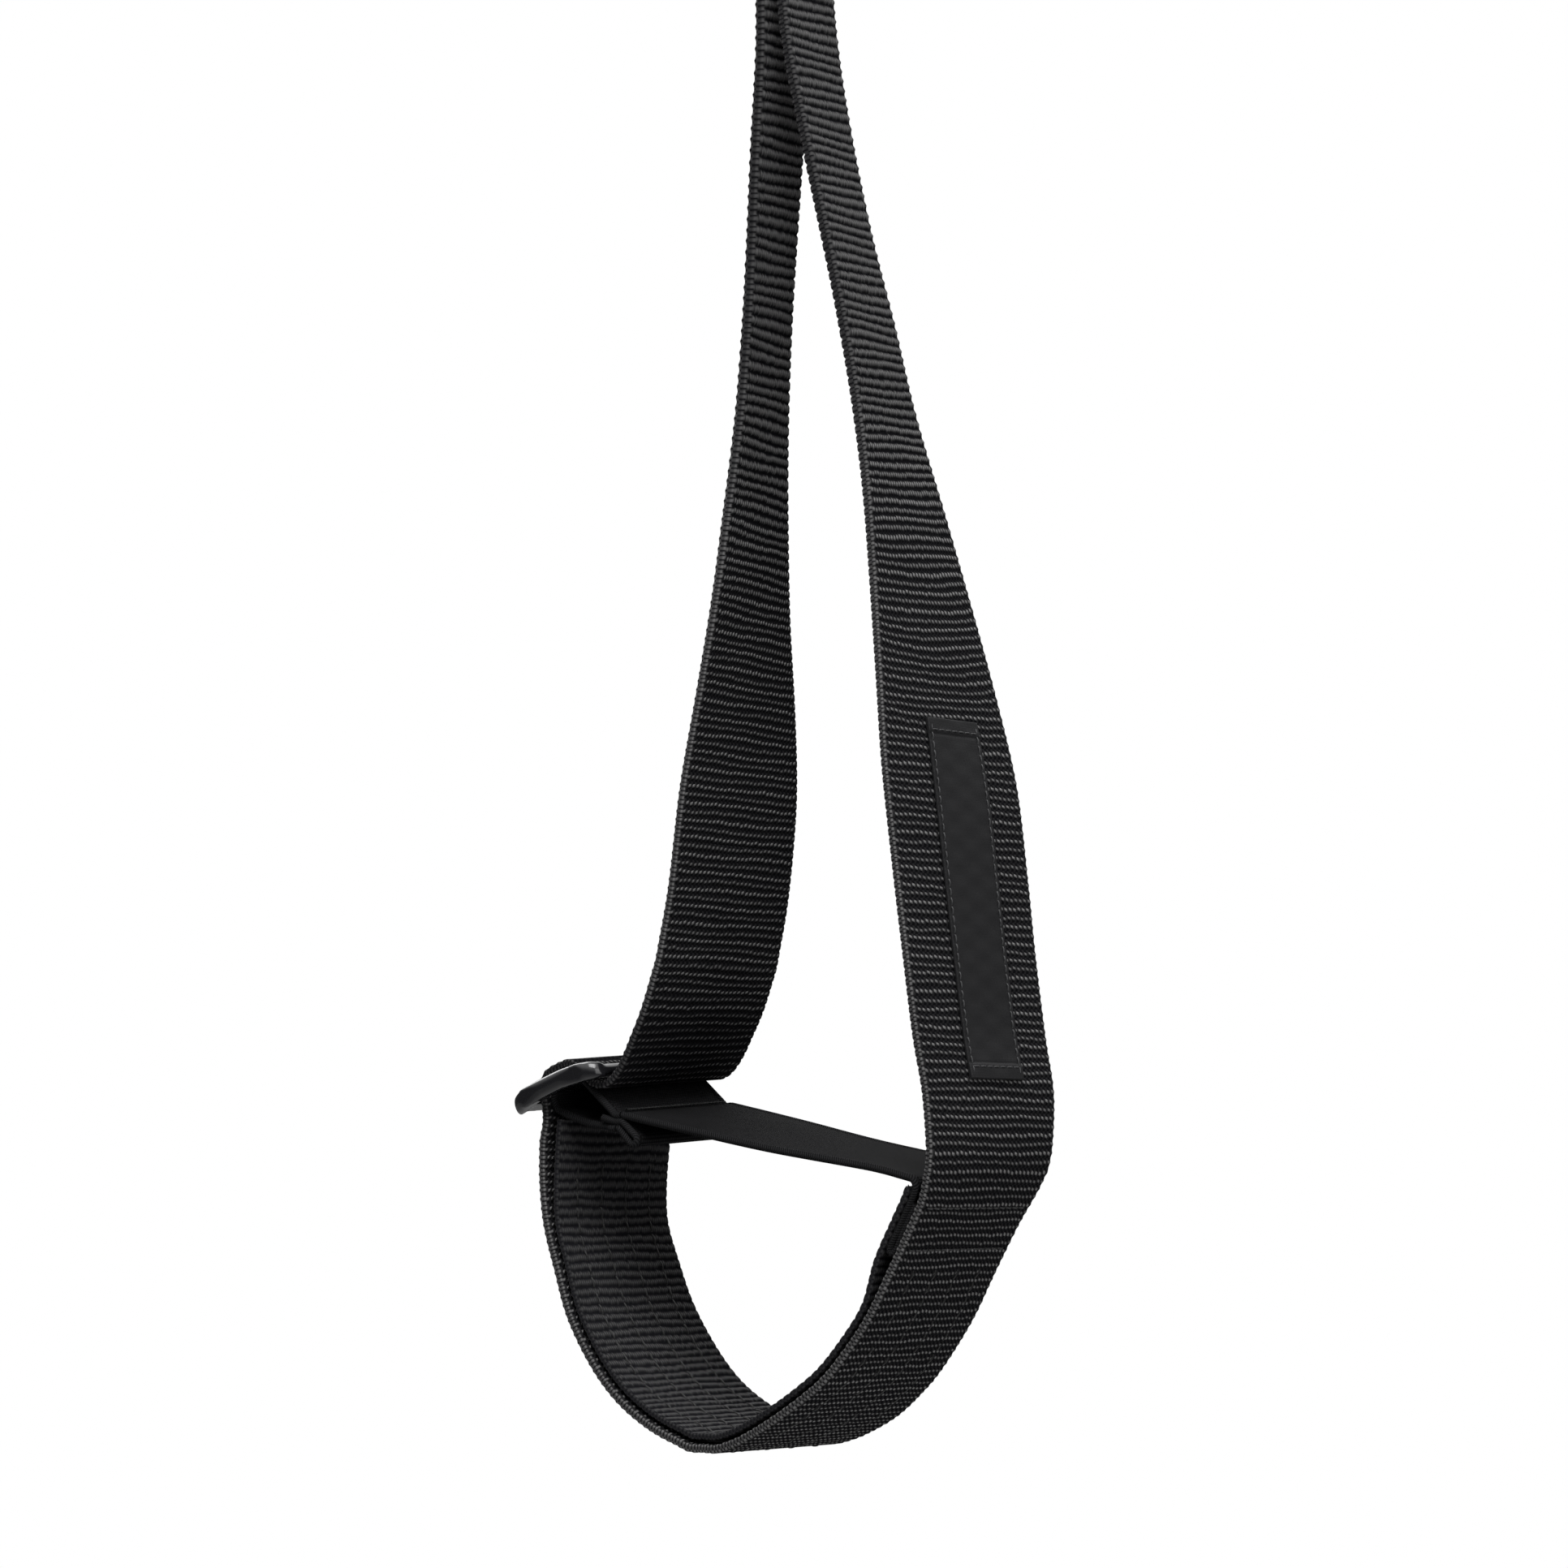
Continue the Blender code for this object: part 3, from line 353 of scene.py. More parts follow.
def read_strap(node, start):
    """The strap that a node's solid holds, running away from the given point."""
    widths = []
    others = []
    for path in sharp_paths(node):
        points = path[2]
        crosses = abs(points[-1][1] - points[0][1]) > running(points)[-1] / 2
        (widths if crosses else others).append(path)
    others.sort(key=lambda path: running(path[2])[-1])
    rails = others[len(others) // 2 :]
    first_end = {rails[0][0]}
    for _ in range(2):
        for a, b, _ in widths + others[: len(others) // 2]:
            if a in first_end or b in first_end:
                first_end |= {a, b}
    rails = [rail if rail[0] in first_end else turned(rail) for rail in rails]
    start = np.array(start, float)
    from_start = [np.mean([rail[2][end] for rail in rails], axis=0) - start for end in (0, -1)]
    if np.linalg.norm(from_start[1]) < np.linalg.norm(from_start[0]):
        rails = [turned(rail) for rail in rails]
    rails.sort(key=lambda rail: rail[2][:, 1].mean())
    near, far = rails[:2], rails[2:]
    joined = {frozenset((a, b)) for a, b, _ in widths}
    if frozenset((near[0][0], far[0][0])) not in joined:
        far = far[::-1]
    near_a, near_b, far_a, far_b = (rail[2] for rail in near + far)
    strap = Strap((near_a + near_b) / 2, (far_a + far_b) / 2, np.zeros(len(near_a)))
    apart = (near_a + far_a - near_b - far_b) / 2
    strap.thickness = np.abs((apart * strap.normals).sum(axis=1))
    return strap


def node_middle(node):
    low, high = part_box(node)
    return (low + high) / 2


def link(obj):
    bpy.context.scene.collection.objects.link(obj)
    return obj


def grid_object(name, top, bottom, weave, under, values):
    """A closed strap from its top and bottom grids of points, rows along it and columns across it.

    The weave coordinates go to a UV map, moved over by under for the bottom grid. The named values, one for
    each point of a grid, go to attributes.
    """
    rows, columns = top.shape[:2]
    points = np.concatenate([top.reshape(-1, 3), bottom.reshape(-1, 3)])
    weave = weave.reshape(-1, 2)
    coordinates = np.concatenate([weave, weave + np.array([under, 0])])
    upper = np.arange(rows * columns).reshape(rows, columns)
    lower = upper + rows * columns
    quads = []
    uvs = []

    def corners(sides):
        return np.stack([np.ravel(side) for side in sides], axis=1)

    def add(*sides, shown=None):
        quads.append(corners(sides))
        uvs.append(coordinates[corners(shown or sides)])

    add(upper[:-1, :-1], upper[1:, :-1], upper[1:, 1:], upper[:-1, 1:])
    add(lower[:-1, 1:], lower[1:, 1:], lower[1:, :-1], lower[:-1, :-1])
    a, b = upper[:-1, 0], upper[1:, 0]
    add(lower[:-1, 0], lower[1:, 0], b, a, shown=(a, b, b, a))
    a, b = upper[:-1, -1], upper[1:, -1]
    add(a, b, lower[1:, -1], lower[:-1, -1], shown=(a, b, b, a))
    smooth_faces = sum(len(part) for part in quads)
    add(upper[0, :-1], upper[0, 1:], lower[0, 1:], lower[0, :-1])
    add(upper[-1, 1:], upper[-1, :-1], lower[-1, :-1], lower[-1, 1:])
    quads = np.concatenate(quads)
    uvs = np.concatenate(uvs)
    a, b, c, d = (points[quads[:, corner]] for corner in range(4))
    if (np.cross(a, b) * c + np.cross(a, c) * d).sum() < 0:
        quads = quads[:, ::-1]
        uvs = uvs[:, ::-1]

    mesh = bpy.data.meshes.new(name)
    mesh.vertices.add(len(points))
    mesh.vertices.foreach_set("co", points.astype(np.float32).ravel())
    mesh.loops.add(quads.size)
    mesh.loops.foreach_set("vertex_index", quads.astype(np.int32).ravel())
    mesh.polygons.add(len(quads))
    mesh.polygons.foreach_set("loop_start", np.arange(0, quads.size, 4, dtype=np.int32))
    mesh.polygons.foreach_set("use_smooth", np.arange(len(quads)) < smooth_faces)
    mesh.uv_layers.new(name="weave").data.foreach_set("uv", uvs.astype(np.float32).ravel())
    for key, value in values.items():
        both = np.tile(value.ravel(), 2).astype(np.float32)
        mesh.attributes.new(key, "FLOAT", "POINT").data.foreach_set("value", both)
    mesh.update(calc_edges=True)
    return link(bpy.data.objects.new(name, mesh))


def rib_shape(ribs):
    """Height of a rib from 0 in its groove to 1 on its crest, which stands at each whole number."""
    return 1 - np.abs(2 * ((ribs + 0.5) % 1) - 1) ** RIB_SQUARENESS


def rib_rows(strap, pitch, samples=RIB_SAMPLES):
    """Running lengths and rib numbers of the rows to weave, for one pitch or one at each station."""
    total = strap.lengths[-1]
    fine = np.linspace(0, total, max(2, round(total / FINE_STEP)))
    rates = 1 / np.interp(fine, strap.lengths, pitch + 0 * strap.lengths)
    ribs = np.concatenate([[0], np.cumsum((rates[1:] + rates[:-1]) / 2 * np.diff(fine))])
    inner = np.arange(1, math.ceil(ribs[-1] * samples)) / samples
    inner = inner[(inner > RIB_MARGIN) & (inner < ribs[-1] - RIB_MARGIN)]
    rows = np.concatenate([[0], inner, [ribs[-1]]])
    return np.interp(rows, ribs, fine), rows


def woven(name, strap, rows, ribs, relief, pairs, spread=0.0, shift=None, extra=None, bead=1.0, worn=0.0):
    """A woven strap: ribs over both faces, and selvedges of two rows of beads along its edges.

    relief, spread and the painted shade, which darkens the threads' colour, are one value or one for each
    row.
    shift(across, row) moves the ribs along the strap, in ribs, and extra(across, row) raises both faces,
    across counting metres from the near edge.
    """
    ahead = strap.at(np.minimum(rows + FINE_STEP, strap.lengths[-1])).middle
    behind = strap.at(np.maximum(rows - FINE_STEP, 0)).middle
    strap = strap.at(rows)
    normals = unit(np.cross(ahead - behind, strap.far - strap.near))
    width = strap.width[:, None]
    half = strap.thickness[:, None] / 2
    angles = np.linspace(EDGE_FIRST_ANGLE, math.pi / 2, EDGE_COLUMNS + 1)[:-1]
    shares = np.linspace(0, 1, FACE_COLUMNS + 1)
    edge_in = half * (1 - np.cos(angles) ** EDGE_SQUARENESS)
    across = np.concatenate([edge_in, half + (width - 2 * half) * shares, width - edge_in[:, ::-1]], axis=1)
    edge_lift = np.sin(angles) ** EDGE_SQUARENESS
    lift = np.concatenate([edge_lift, np.ones(len(shares)), edge_lift[::-1]])
    outward = np.concatenate([-np.cos(angles), 0 * shares, np.cos(angles[::-1])])
    edge = np.abs(outward)
    turns = angles / (math.pi / 2)
    cells = np.concatenate([turns - 1, shares * pairs, pairs + 1 - turns[::-1]])

    number = ribs[:, None] + (shift(across, ribs[:, None]) if shift else 0 * across)
    relief, spread, worn = (np.asarray(value)[..., None] + 0 * number for value in (relief, spread, worn))
    rib = rib_shape(number) - RIB_CENTRE
    beads = np.cos(2 * math.pi * number) * BEAD * bead
    faces = []
    for side in (1, -1):
        small = SMALL_BEAD * bead * np.cos(4 * math.pi * number + math.pi * (side > 0))
        height = relief * (rib * (1 - edge) + (beads + small) * edge)
        if extra is not None:
            height = height + extra(across, number) * (1 - edge)
        faces.append(strap.raised(across + height * outward, side * lift * (half + height), normals))
    weave = np.stack([cells + 0 * number, number], axis=2)
    values = {"spread": spread, "selvedge": smooth_step(edge * SELVEDGE_GAIN) + 0 * number, "worn": worn}
    return grid_object(name, *faces, weave, 2 * pairs + UNDERSIDE_SHIFT, values)


def arithmetic(operation, swapped=False):
    """A method of Value that adds one math node."""

    def apply(self, other):
        return self.nodes.math(operation, *((other, self) if swapped else (self, other)))

    return apply


class Value:
    """An output in a shader tree, whose arithmetic adds math nodes."""

    __add__ = arithmetic("ADD")
    __radd__ = arithmetic("ADD", swapped=True)
    __sub__ = arithmetic("SUBTRACT")
    __mul__ = arithmetic("MULTIPLY")
    __truediv__ = arithmetic("DIVIDE")
    __rtruediv__ = arithmetic("DIVIDE", swapped=True)
    __pow__ = arithmetic("POWER")
    __mod__ = arithmetic("FLOORED_MODULO")

    def __init__(self, nodes, socket):
        self.nodes = nodes
        self.socket = socket


class Nodes:
    """Short names for adding shader nodes to a tree."""

    def __init__(self, tree):
        self.tree = tree

    def set(self, node, *numbered, **inputs):
        """Sets or links a node's inputs, by order or by name."""
        named = {key.replace("_", " "): value for key, value in inputs.items()}
        for key, value in (*enumerate(numbered), *named.items()):
            if isinstance(value, Value):
                self.tree.links.new(value.socket, node.inputs[key])
            else:
                node.inputs[key].default_value = value
        return node

    def add(self, kind, settings=None, **inputs):
        node = self.tree.nodes.new("ShaderNode" + kind)
        for key, value in (settings or {}).items():
            setattr(node, key, value)
        return self.set(node, **inputs)

    def read(self, kind, output=0, settings=None, **inputs):
        """One output of a new node."""
        return Value(self, self.add(kind, settings, **inputs).outputs[output])

    def outputs(self, node):
        return {socket.name: Value(self, socket) for socket in node.outputs}

    def math(self, operation, *values, clamp=False):
        node = self.add("Math", {"operation": operation, "use_clamp": clamp})
        return Value(self, self.set(node, *values).outputs[0])

    def floor(self, value):
        return self.math("FLOOR", value)

    def lerp(self, factor, low, high):
        return self.read("MapRange", Value=factor, To_Min=low, To_Max=high)

    def cell(self, value):
        """Place within a cell one wide, from -0.5 to 0.5."""
        return self.math("FRACT", value) - 0.5

    def hump(self, cell, width=1.0):
        """1 in the middle of a cell from -0.5 to 0.5, falling to 0 at a share of its half width."""
        reach = cell * 2.0 / width
        return self.math("SUBTRACT", 1.0, reach * reach, clamp=True)

    def colour(self, factor, low, high):
        node = self.set(self.add("Mix", {"data_type": "RGBA"}), factor)
        node.inputs[6].default_value = (*low, 1)
        node.inputs[7].default_value = (*high, 1)
        return Value(self, node.outputs[2])

    def split(self, vector):
        parts = self.outputs(self.add("SeparateXYZ", Vector=vector))
        return parts["X"], parts["Y"]

    def weave(self):
        return self.read("UVMap", settings={"uv_map": "weave"})

    def place(self):
        return self.read("TexCoord", "Object")

    def attribute(self, name):
        return self.read("Attribute", "Fac", {"attribute_name": name})

    def group(self, name, **inputs):
        return self.outputs(self.add("Group", {"node_tree": bpy.data.node_groups[name]}, **inputs))


class Material(Nodes):
    """A new material and its shader."""

    def __init__(self, name, roughness, specular):
        self.material = bpy.data.materials.new(name)
        self.material.use_nodes = True
        super().__init__(self.material.node_tree)
        self.feed(Roughness=roughness, Specular_IOR_Level=specular)

    def feed(self, **inputs):
        self.set(self.tree.nodes["Principled BSDF"], **inputs)

    def tint(self, factor, low, high):
        self.feed(Base_Color=self.colour(factor, low, high))

    def bump(self, height, depth=1.0 * MM):
        self.feed(Normal=self.read("Bump", Height=height, Distance=depth))


def shaded(colour, share):
    return tuple(channel * share for channel in colour)


def group_tree(name, inputs, *outputs):
    """An empty shader group: inputs by name and default, a vector where that is None, and number outputs."""
    tree = bpy.data.node_groups.new(name, "ShaderNodeTree")
    for key, default in inputs.items():
        kind = "NodeSocketVector" if default is None else "NodeSocketFloat"
        socket = tree.interface.new_socket(name=key, in_out="INPUT", socket_type=kind)
        if default is not None:
            socket.default_value = default
    for key in outputs:
        tree.interface.new_socket(name=key, in_out="OUTPUT", socket_type="NodeSocketFloat")
    nodes = Nodes(tree)
    return nodes, nodes.outputs(tree.nodes.new("NodeGroupInput")), tree.nodes.new("NodeGroupOutput")


def grain_group():
    """Slow patches and fine fibres over any cloth: a factor round 1, and a small height."""
    inputs = {"Patch Size": 14.0, "Patch": 0.25, "Fibre Size": 0.12, "Fibre": 0.3}
    nodes, given, end = group_tree("cloth_grain", inputs, "Factor", "Height")
    in_mm = nodes.read("VectorMath", 0, {"operation": "SCALE"}, Vector=nodes.place(), Scale=1 / MM)

    def noise(kind):
        return (nodes.read("TexNoise", Vector=in_mm, Scale=1.0 / given[kind + " Size"]) - 0.5) * given[kind]

    fibre = noise("Fibre")
    nodes.set(end, Factor=1.0 + (noise("Patch") * 2.0 + fibre), Height=fibre)


def weave_group():
    """Warp threads over ribs, from the weave coordinate: warp pairs across, ribs along.

    They are packed side by side where Spread is 0, and in alternate rows of short floats where it is 1. Crown
    is 1 on the middle of a float and 0 in a groove, and Height is in millimetres.
    """
    inputs = {"Weave": None, "Spread": 0.0, "Selvedge": 0.0, "Ragged": 0.16}
    nodes, given, end = group_tree("webbing_weave", inputs, "Crown", "Height")
    spread = given["Spread"]
    x, y = nodes.split(given["Weave"])
    row = nodes.floor(y + 0.5)
    parity = row % 2.0
    pair = x + parity * 0.5
    cell = nodes.read("CombineXYZ", X=nodes.floor(pair), Y=row)
    jitter = (nodes.read("TexWhiteNoise", Vector=cell) - 0.5) * given["Ragged"]
    across = nodes.cell(pair)
    along = y - row + jitter + across * nodes.lerp(spread, 0.0, 0.28)
    thread = nodes.hump(across, nodes.lerp(spread, 1.05, 0.78))
    length = nodes.hump(along, nodes.lerp(spread, 0.98, 0.42))
    packed = length**2.2 * nodes.lerp(thread, 0.18, 1.0)
    dash = (length * thread) ** 1.25 * nodes.lerp(parity, 1.0, 0.55)
    under = nodes.hump(nodes.cell(pair + 0.5), 0.6) * 0.05
    crown = nodes.lerp(spread, packed, nodes.math("MAXIMUM", dash, under))

    bead = nodes.hump(nodes.cell(y * 2.0 + nodes.floor(x) % 2.0 * 0.5), 0.9) * nodes.hump(nodes.cell(x), 1.1)
    crown = nodes.lerp(given["Selvedge"], crown, bead * 0.5)
    nodes.set(end, Crown=crown, Height=crown * nodes.lerp(spread, 0.12, 0.26))


# Share of its light that a thread keeps under the painted shade on the wrap round the slider
PAINTED_SHADE_SHARE = 0.36


def woven_material(name, crown, groove, ragged=0.16):
    """Black nylon webbing: thread crowns painted light as their highlight, over grooves painted dark as
    shade.
    """
    cloth = Material(name, 0.55, 0.22)
    spread = cloth.attribute("spread")
    inputs = {"Spread": spread, "Selvedge": cloth.attribute("selvedge"), "Ragged": ragged}
    threads = cloth.group("webbing_weave", Weave=cloth.weave(), **inputs)
    grain = cloth.group("cloth_grain")
    # Painted shade: the threads' colour is darkened where the painted shade attribute is set
    kept = cloth.lerp(cloth.attribute("worn"), 1.0, PAINTED_SHADE_SHARE)
    # Painted highlight on the thread crowns, brighter on the wide part's floats, over painted shade in the
    # grooves
    cloth.tint(threads["Crown"] * grain["Factor"] * cloth.lerp(spread, 0.55, 1.5) * kept, groove, crown)
    cloth.feed(Roughness=cloth.lerp(threads["Crown"], 0.85, 0.45))
    cloth.feed(Specular_IOR_Level=cloth.lerp(threads["Crown"], 0.0, 0.10))
    cloth.bump(threads["Height"] + grain["Height"] * 0.05)


def elastic_material(name, colour):
    """Covered elastic: fine cross ribs on its face, slanting wraps on its rolled edges."""
    cloth = Material(name, 0.75, 0.02)
    x, y = cloth.split(cloth.weave())
    selvedge = cloth.attribute("selvedge")
    slant = y + x * (selvedge * 0.9)
    rib = cloth.hump(cloth.cell(slant))
    knit = cloth.hump(cloth.cell(x + cloth.floor(slant) % 2.0 * 0.5))
    cover = cloth.lerp(selvedge, rib * cloth.lerp(knit, 0.25, 1.0), rib)
    grain = cloth.group("cloth_grain", Patch_Size=9.0, Patch=0.3, Fibre=0.6)
    cloth.tint(cover * grain["Factor"], shaded(colour, 0.12), colour)
    cloth.feed(Roughness=cloth.lerp(cover, 0.9, 0.62))
    cloth.bump(cover * 0.12 + grain["Height"] * 0.04)


def thread_material(name, colour):
    """Sewing thread with its twist."""
    thread = Material(name, 0.5, 0.3)
    diagonal = {"bands_direction": "DIAGONAL"}
    twist = thread.read("TexWave", "Fac", diagonal, Vector=thread.place(), Scale=0.55 / MM, Distortion=1.5)
    grain = thread.group("cloth_grain", Patch_Size=3.0, Patch=0.2)
    thread.tint(thread.lerp(twist, 0.5, 1.1) * grain["Factor"], shaded(colour, 0.25), colour)
    thread.bump(twist * 0.03)


def label_material(name, colour):
    """Satin weave in fine slanting lines."""
    cloth = Material(name, 0.42, 0.12)
    x, y = cloth.split(cloth.weave())
    cover = cloth.hump(cloth.cell(x + y * 0.6)) * 0.7 + cloth.hump(cloth.cell(y * 1.7)) * 0.3
    grain = cloth.group("cloth_grain", Patch_Size=20.0, Patch=0.25)
    cloth.tint(cloth.lerp(cover, 0.35, 1.0) * grain["Factor"], shaded(colour, 0.3), colour)
    cloth.feed(Roughness=cloth.lerp(cover, 0.62, 0.40))
    cloth.bump(cover * 0.045)


def slider_material(name, colour):
    """Black coated casting: glossy, a little uneven, rubbed duller where the webbing runs."""
    coat = Material(name, 0.25, 0.4)
    place = coat.place()
    peel = coat.read("TexNoise", Vector=place, Scale=0.45 / MM, Detail=2.0)
    rubbed = coat.read("TexNoise", Vector=place, Scale=0.12 / MM, Detail=4.0)
    dust = coat.group("cloth_grain", Patch_Size=6.0, Patch=0.3, Fibre=0.1)
    coat.tint(dust["Factor"] * 0.6, colour, shaded(colour, 1.8))
    coat.feed(Roughness=coat.lerp(rubbed, 0.10, 0.30), Coat_Weight=0.35, Coat_Roughness=0.12)
    coat.bump(peel, 0.03 * MM)


# One stitch from hole to hole: shares of its length, and heights as shares of the thread's radius
STITCH_SHARES = np.array([0.06, 0.16, 0.34, 0.5, 0.66, 0.84, 0.94])
STITCH_RISES = np.array([-1.0, 0.1, 0.85, 1.0, 0.85, 0.1, -1.0])

# Rows of stitching: their middle above the cloth, how far ends sink in, points along a row, a joint's stitch
ROW_STANDOFF = 0.54 * MM
OUTER_SINK = 0.12 * MM
JOINT_SINK = 0.20 * MM
QUILTING_POINTS = 400
JOINT_POINTS = 120
JOINT_STITCH_SHARE = 0.8

# Zigzags: half a turn as a share of half the pitch, the pitches, and the elastic's margin in its widths
TACK_TURN = 0.35
BAR_TACK_PITCH = 0.62 * MM
ELASTIC_TACK_PITCH = 1.25 * MM
TACK_INSET = 0.05

# The straight threads along a bar tack's ends: how far in, as a share of its height, and how far down
RAIL_SHARE = 0.15
RAIL_SINK = 0.12 * MM

# Thread of the tacks, as a share of the sewing thread
BAR_TACK_THREAD = 1.1
ELASTIC_TACK_THREAD = 0.9


def finish_piece(piece, material, slot, *nodes):
    """Gives a piece its material and lets it stand for its nodes. The slot is not used."""
    piece.data.materials.append(bpy.data.materials[material])
    if nodes:
        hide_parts(*nodes)
    return piece


def thread_curve(name, paths, diameter):
    """Sewing thread as one curve object with a spline for each path."""
    curve = bpy.data.curves.new(name, "CURVE")
    curve.dimensions = "3D"
    curve.bevel_depth = diameter / 2
    curve.bevel_resolution = 1
    curve.use_fill_caps = True
    for path in paths:
        spline = curve.splines.new("POLY")
        spline.points.add(len(path) - 1)
        spline.points.foreach_set("co", np.column_stack([path, np.ones(len(path))]).ravel())
        spline.use_smooth = True
    return link(bpy.data.objects.new(name, curve))


def sewn(node, paths, diameter, material, slot):
    """The thread that stands for a node."""
    return finish_piece(thread_curve(node + "_thread", paths, diameter), material, slot, node)


def stitch_paths(line, normals, stitch, diameter, sink):
    """Short arched threads along a line of points, each sinking into the cloth at both ends."""
    places = running(line)
    count = max(1, round(places[-1] / stitch))
    rises = STITCH_RISES * diameter / 2 - sink * (STITCH_RISES < 0)
    paths = []
    for index in range(count):
        at = (index + STITCH_SHARES) * places[-1] / count
        paths.append(sampled(at, places, line) + sampled(at, places, normals) * rises[:, None])
    return paths


def zigzag_path(strap, outward, pitch, diameter):
    """One thread going to and fro between a short strap's two ends, from its near to its far edge."""
    count = max(4, 2 * round(strap.width[0] / pitch))
    points = []
    for index in range(count + 1):
        end = -(index % 2)
        hole = strap.across(index / count)[end]
        across = (strap.far[end] - strap.near[end]) / strap.width[0] * pitch / 2
        ahead = unit(strap.middle[end] - strap.middle[-1 - end])
        for turn in (-TACK_TURN, 0.0, TACK_TURN):
            arch = outward * 0.3 * (0.25 - abs(turn)) - ahead * abs(turn)
            points.append(hole + across * turn + arch * diameter)
    return np.array(points)


# The main webbing: its widths, and the step in which it is eased
NARROWEST = 17.3 * MM
WIDEST = 40.0 * MM
SOFTEN_STEP = 0.5 * MM

# Where the wrap folds, and where painted shade darkens it, counted from the end of the left leg
FOLD_AFTER = 26.0 * MM
FOLD_REACH = 8.0 * MM
PAINTED_SHADE_FROM = 2.0 * MM
PAINTED_SHADE_FADE = 16.0 * MM

# Heights where the wrap is cut from the left leg and from the step
APPROACH_HEIGHT = -0.272
LEAVE_HEIGHT = -0.3345

# Heights between which the right leg's ribs bow, and by how many ribs
SMILE_TOP = -0.208
SMILE_BOTTOM = -0.262
SMILE_DEPTH = 0.65

# Where ribs run askew: height, and how far a rib's far edge stands above its near edge, in strap widths
LEFT_SKEW = ((-0.342, 0.0), (-0.205, 0.008), (-0.180, 0.045), (-0.135, 0.064), (0.0, 0.064))
RIGHT_SKEW = (
    (-0.342, 0.0), (-0.259, 0.0), (-0.231, 0.075), (-0.197, 0.12), (-0.176, 0.10), (-0.162, 0.05), (0.0, 0.07)
)

# Rib spacing at the right leg's top, as a share of the left leg's
RIGHT_NARROW_SHARE = 0.92


def softened(strap, reach, keep):
    """The strap with its bends eased over a length, less where keep is near 1."""
    lengths = np.arange(0, strap.lengths[-1], SOFTEN_STEP)
    fine = strap.at(lengths)
    count = round(3 * reach / SOFTEN_STEP)
    weights = np.exp(-0.5 * (np.arange(-count, count + 1) * SOFTEN_STEP / reach) ** 2)
    weights = weights / weights.sum()
    share = np.interp(lengths, strap.lengths, keep)[:, None]

    def eased(values):
        before = 2 * values[:1] - values[count:0:-1]
        after = 2 * values[-1:] - values[-2 : -count - 2 : -1]
        padded = np.concatenate([before, values, after])
        smooth = np.stack([np.convolve(axis, weights, "valid") for axis in padded.T], axis=1)
        return values * share + smooth * (1 - share)

    return Strap(eased(fine.near), eased(fine.far), fine.thickness)


def main_webbing(settings):
    """The loop's four solids as one strap, eased in its fold, and the lengths where three of them end."""
    whole = read_strap("left_leg_webbing", node_middle("webbing_end_left"))
    ends = []
    for node in ("slider_wrap_webbing", "step_webbing", "right_leg_webbing"):
        ends.append(whole.lengths[-1])
        whole = whole.joined(read_strap(node, whole.middle[-1]))

    def fold():
        return bell(whole.lengths - ends[0] - FOLD_AFTER, FOLD_REACH, 4)

    whole = softened(whole, settings.fold, 1 - fold())
    sag = settings.sag * fold()
    for edge in (whole.near, whole.far):
        edge[:, 2] -= sag
    return whole, np.interp(ends, np.arange(len(sag)) * SOFTEN_STEP, whole.lengths)


def waves(across, number):
    """Small slow wander of the ribs, in ribs."""
    u = across / WIDEST
    quick = 0.07 * np.sin(2 * math.pi * (1.3 * u + 0.11 * number))
    return quick + 0.05 * np.sin(2 * math.pi * (0.6 * u - 0.23 * number + 0.3))


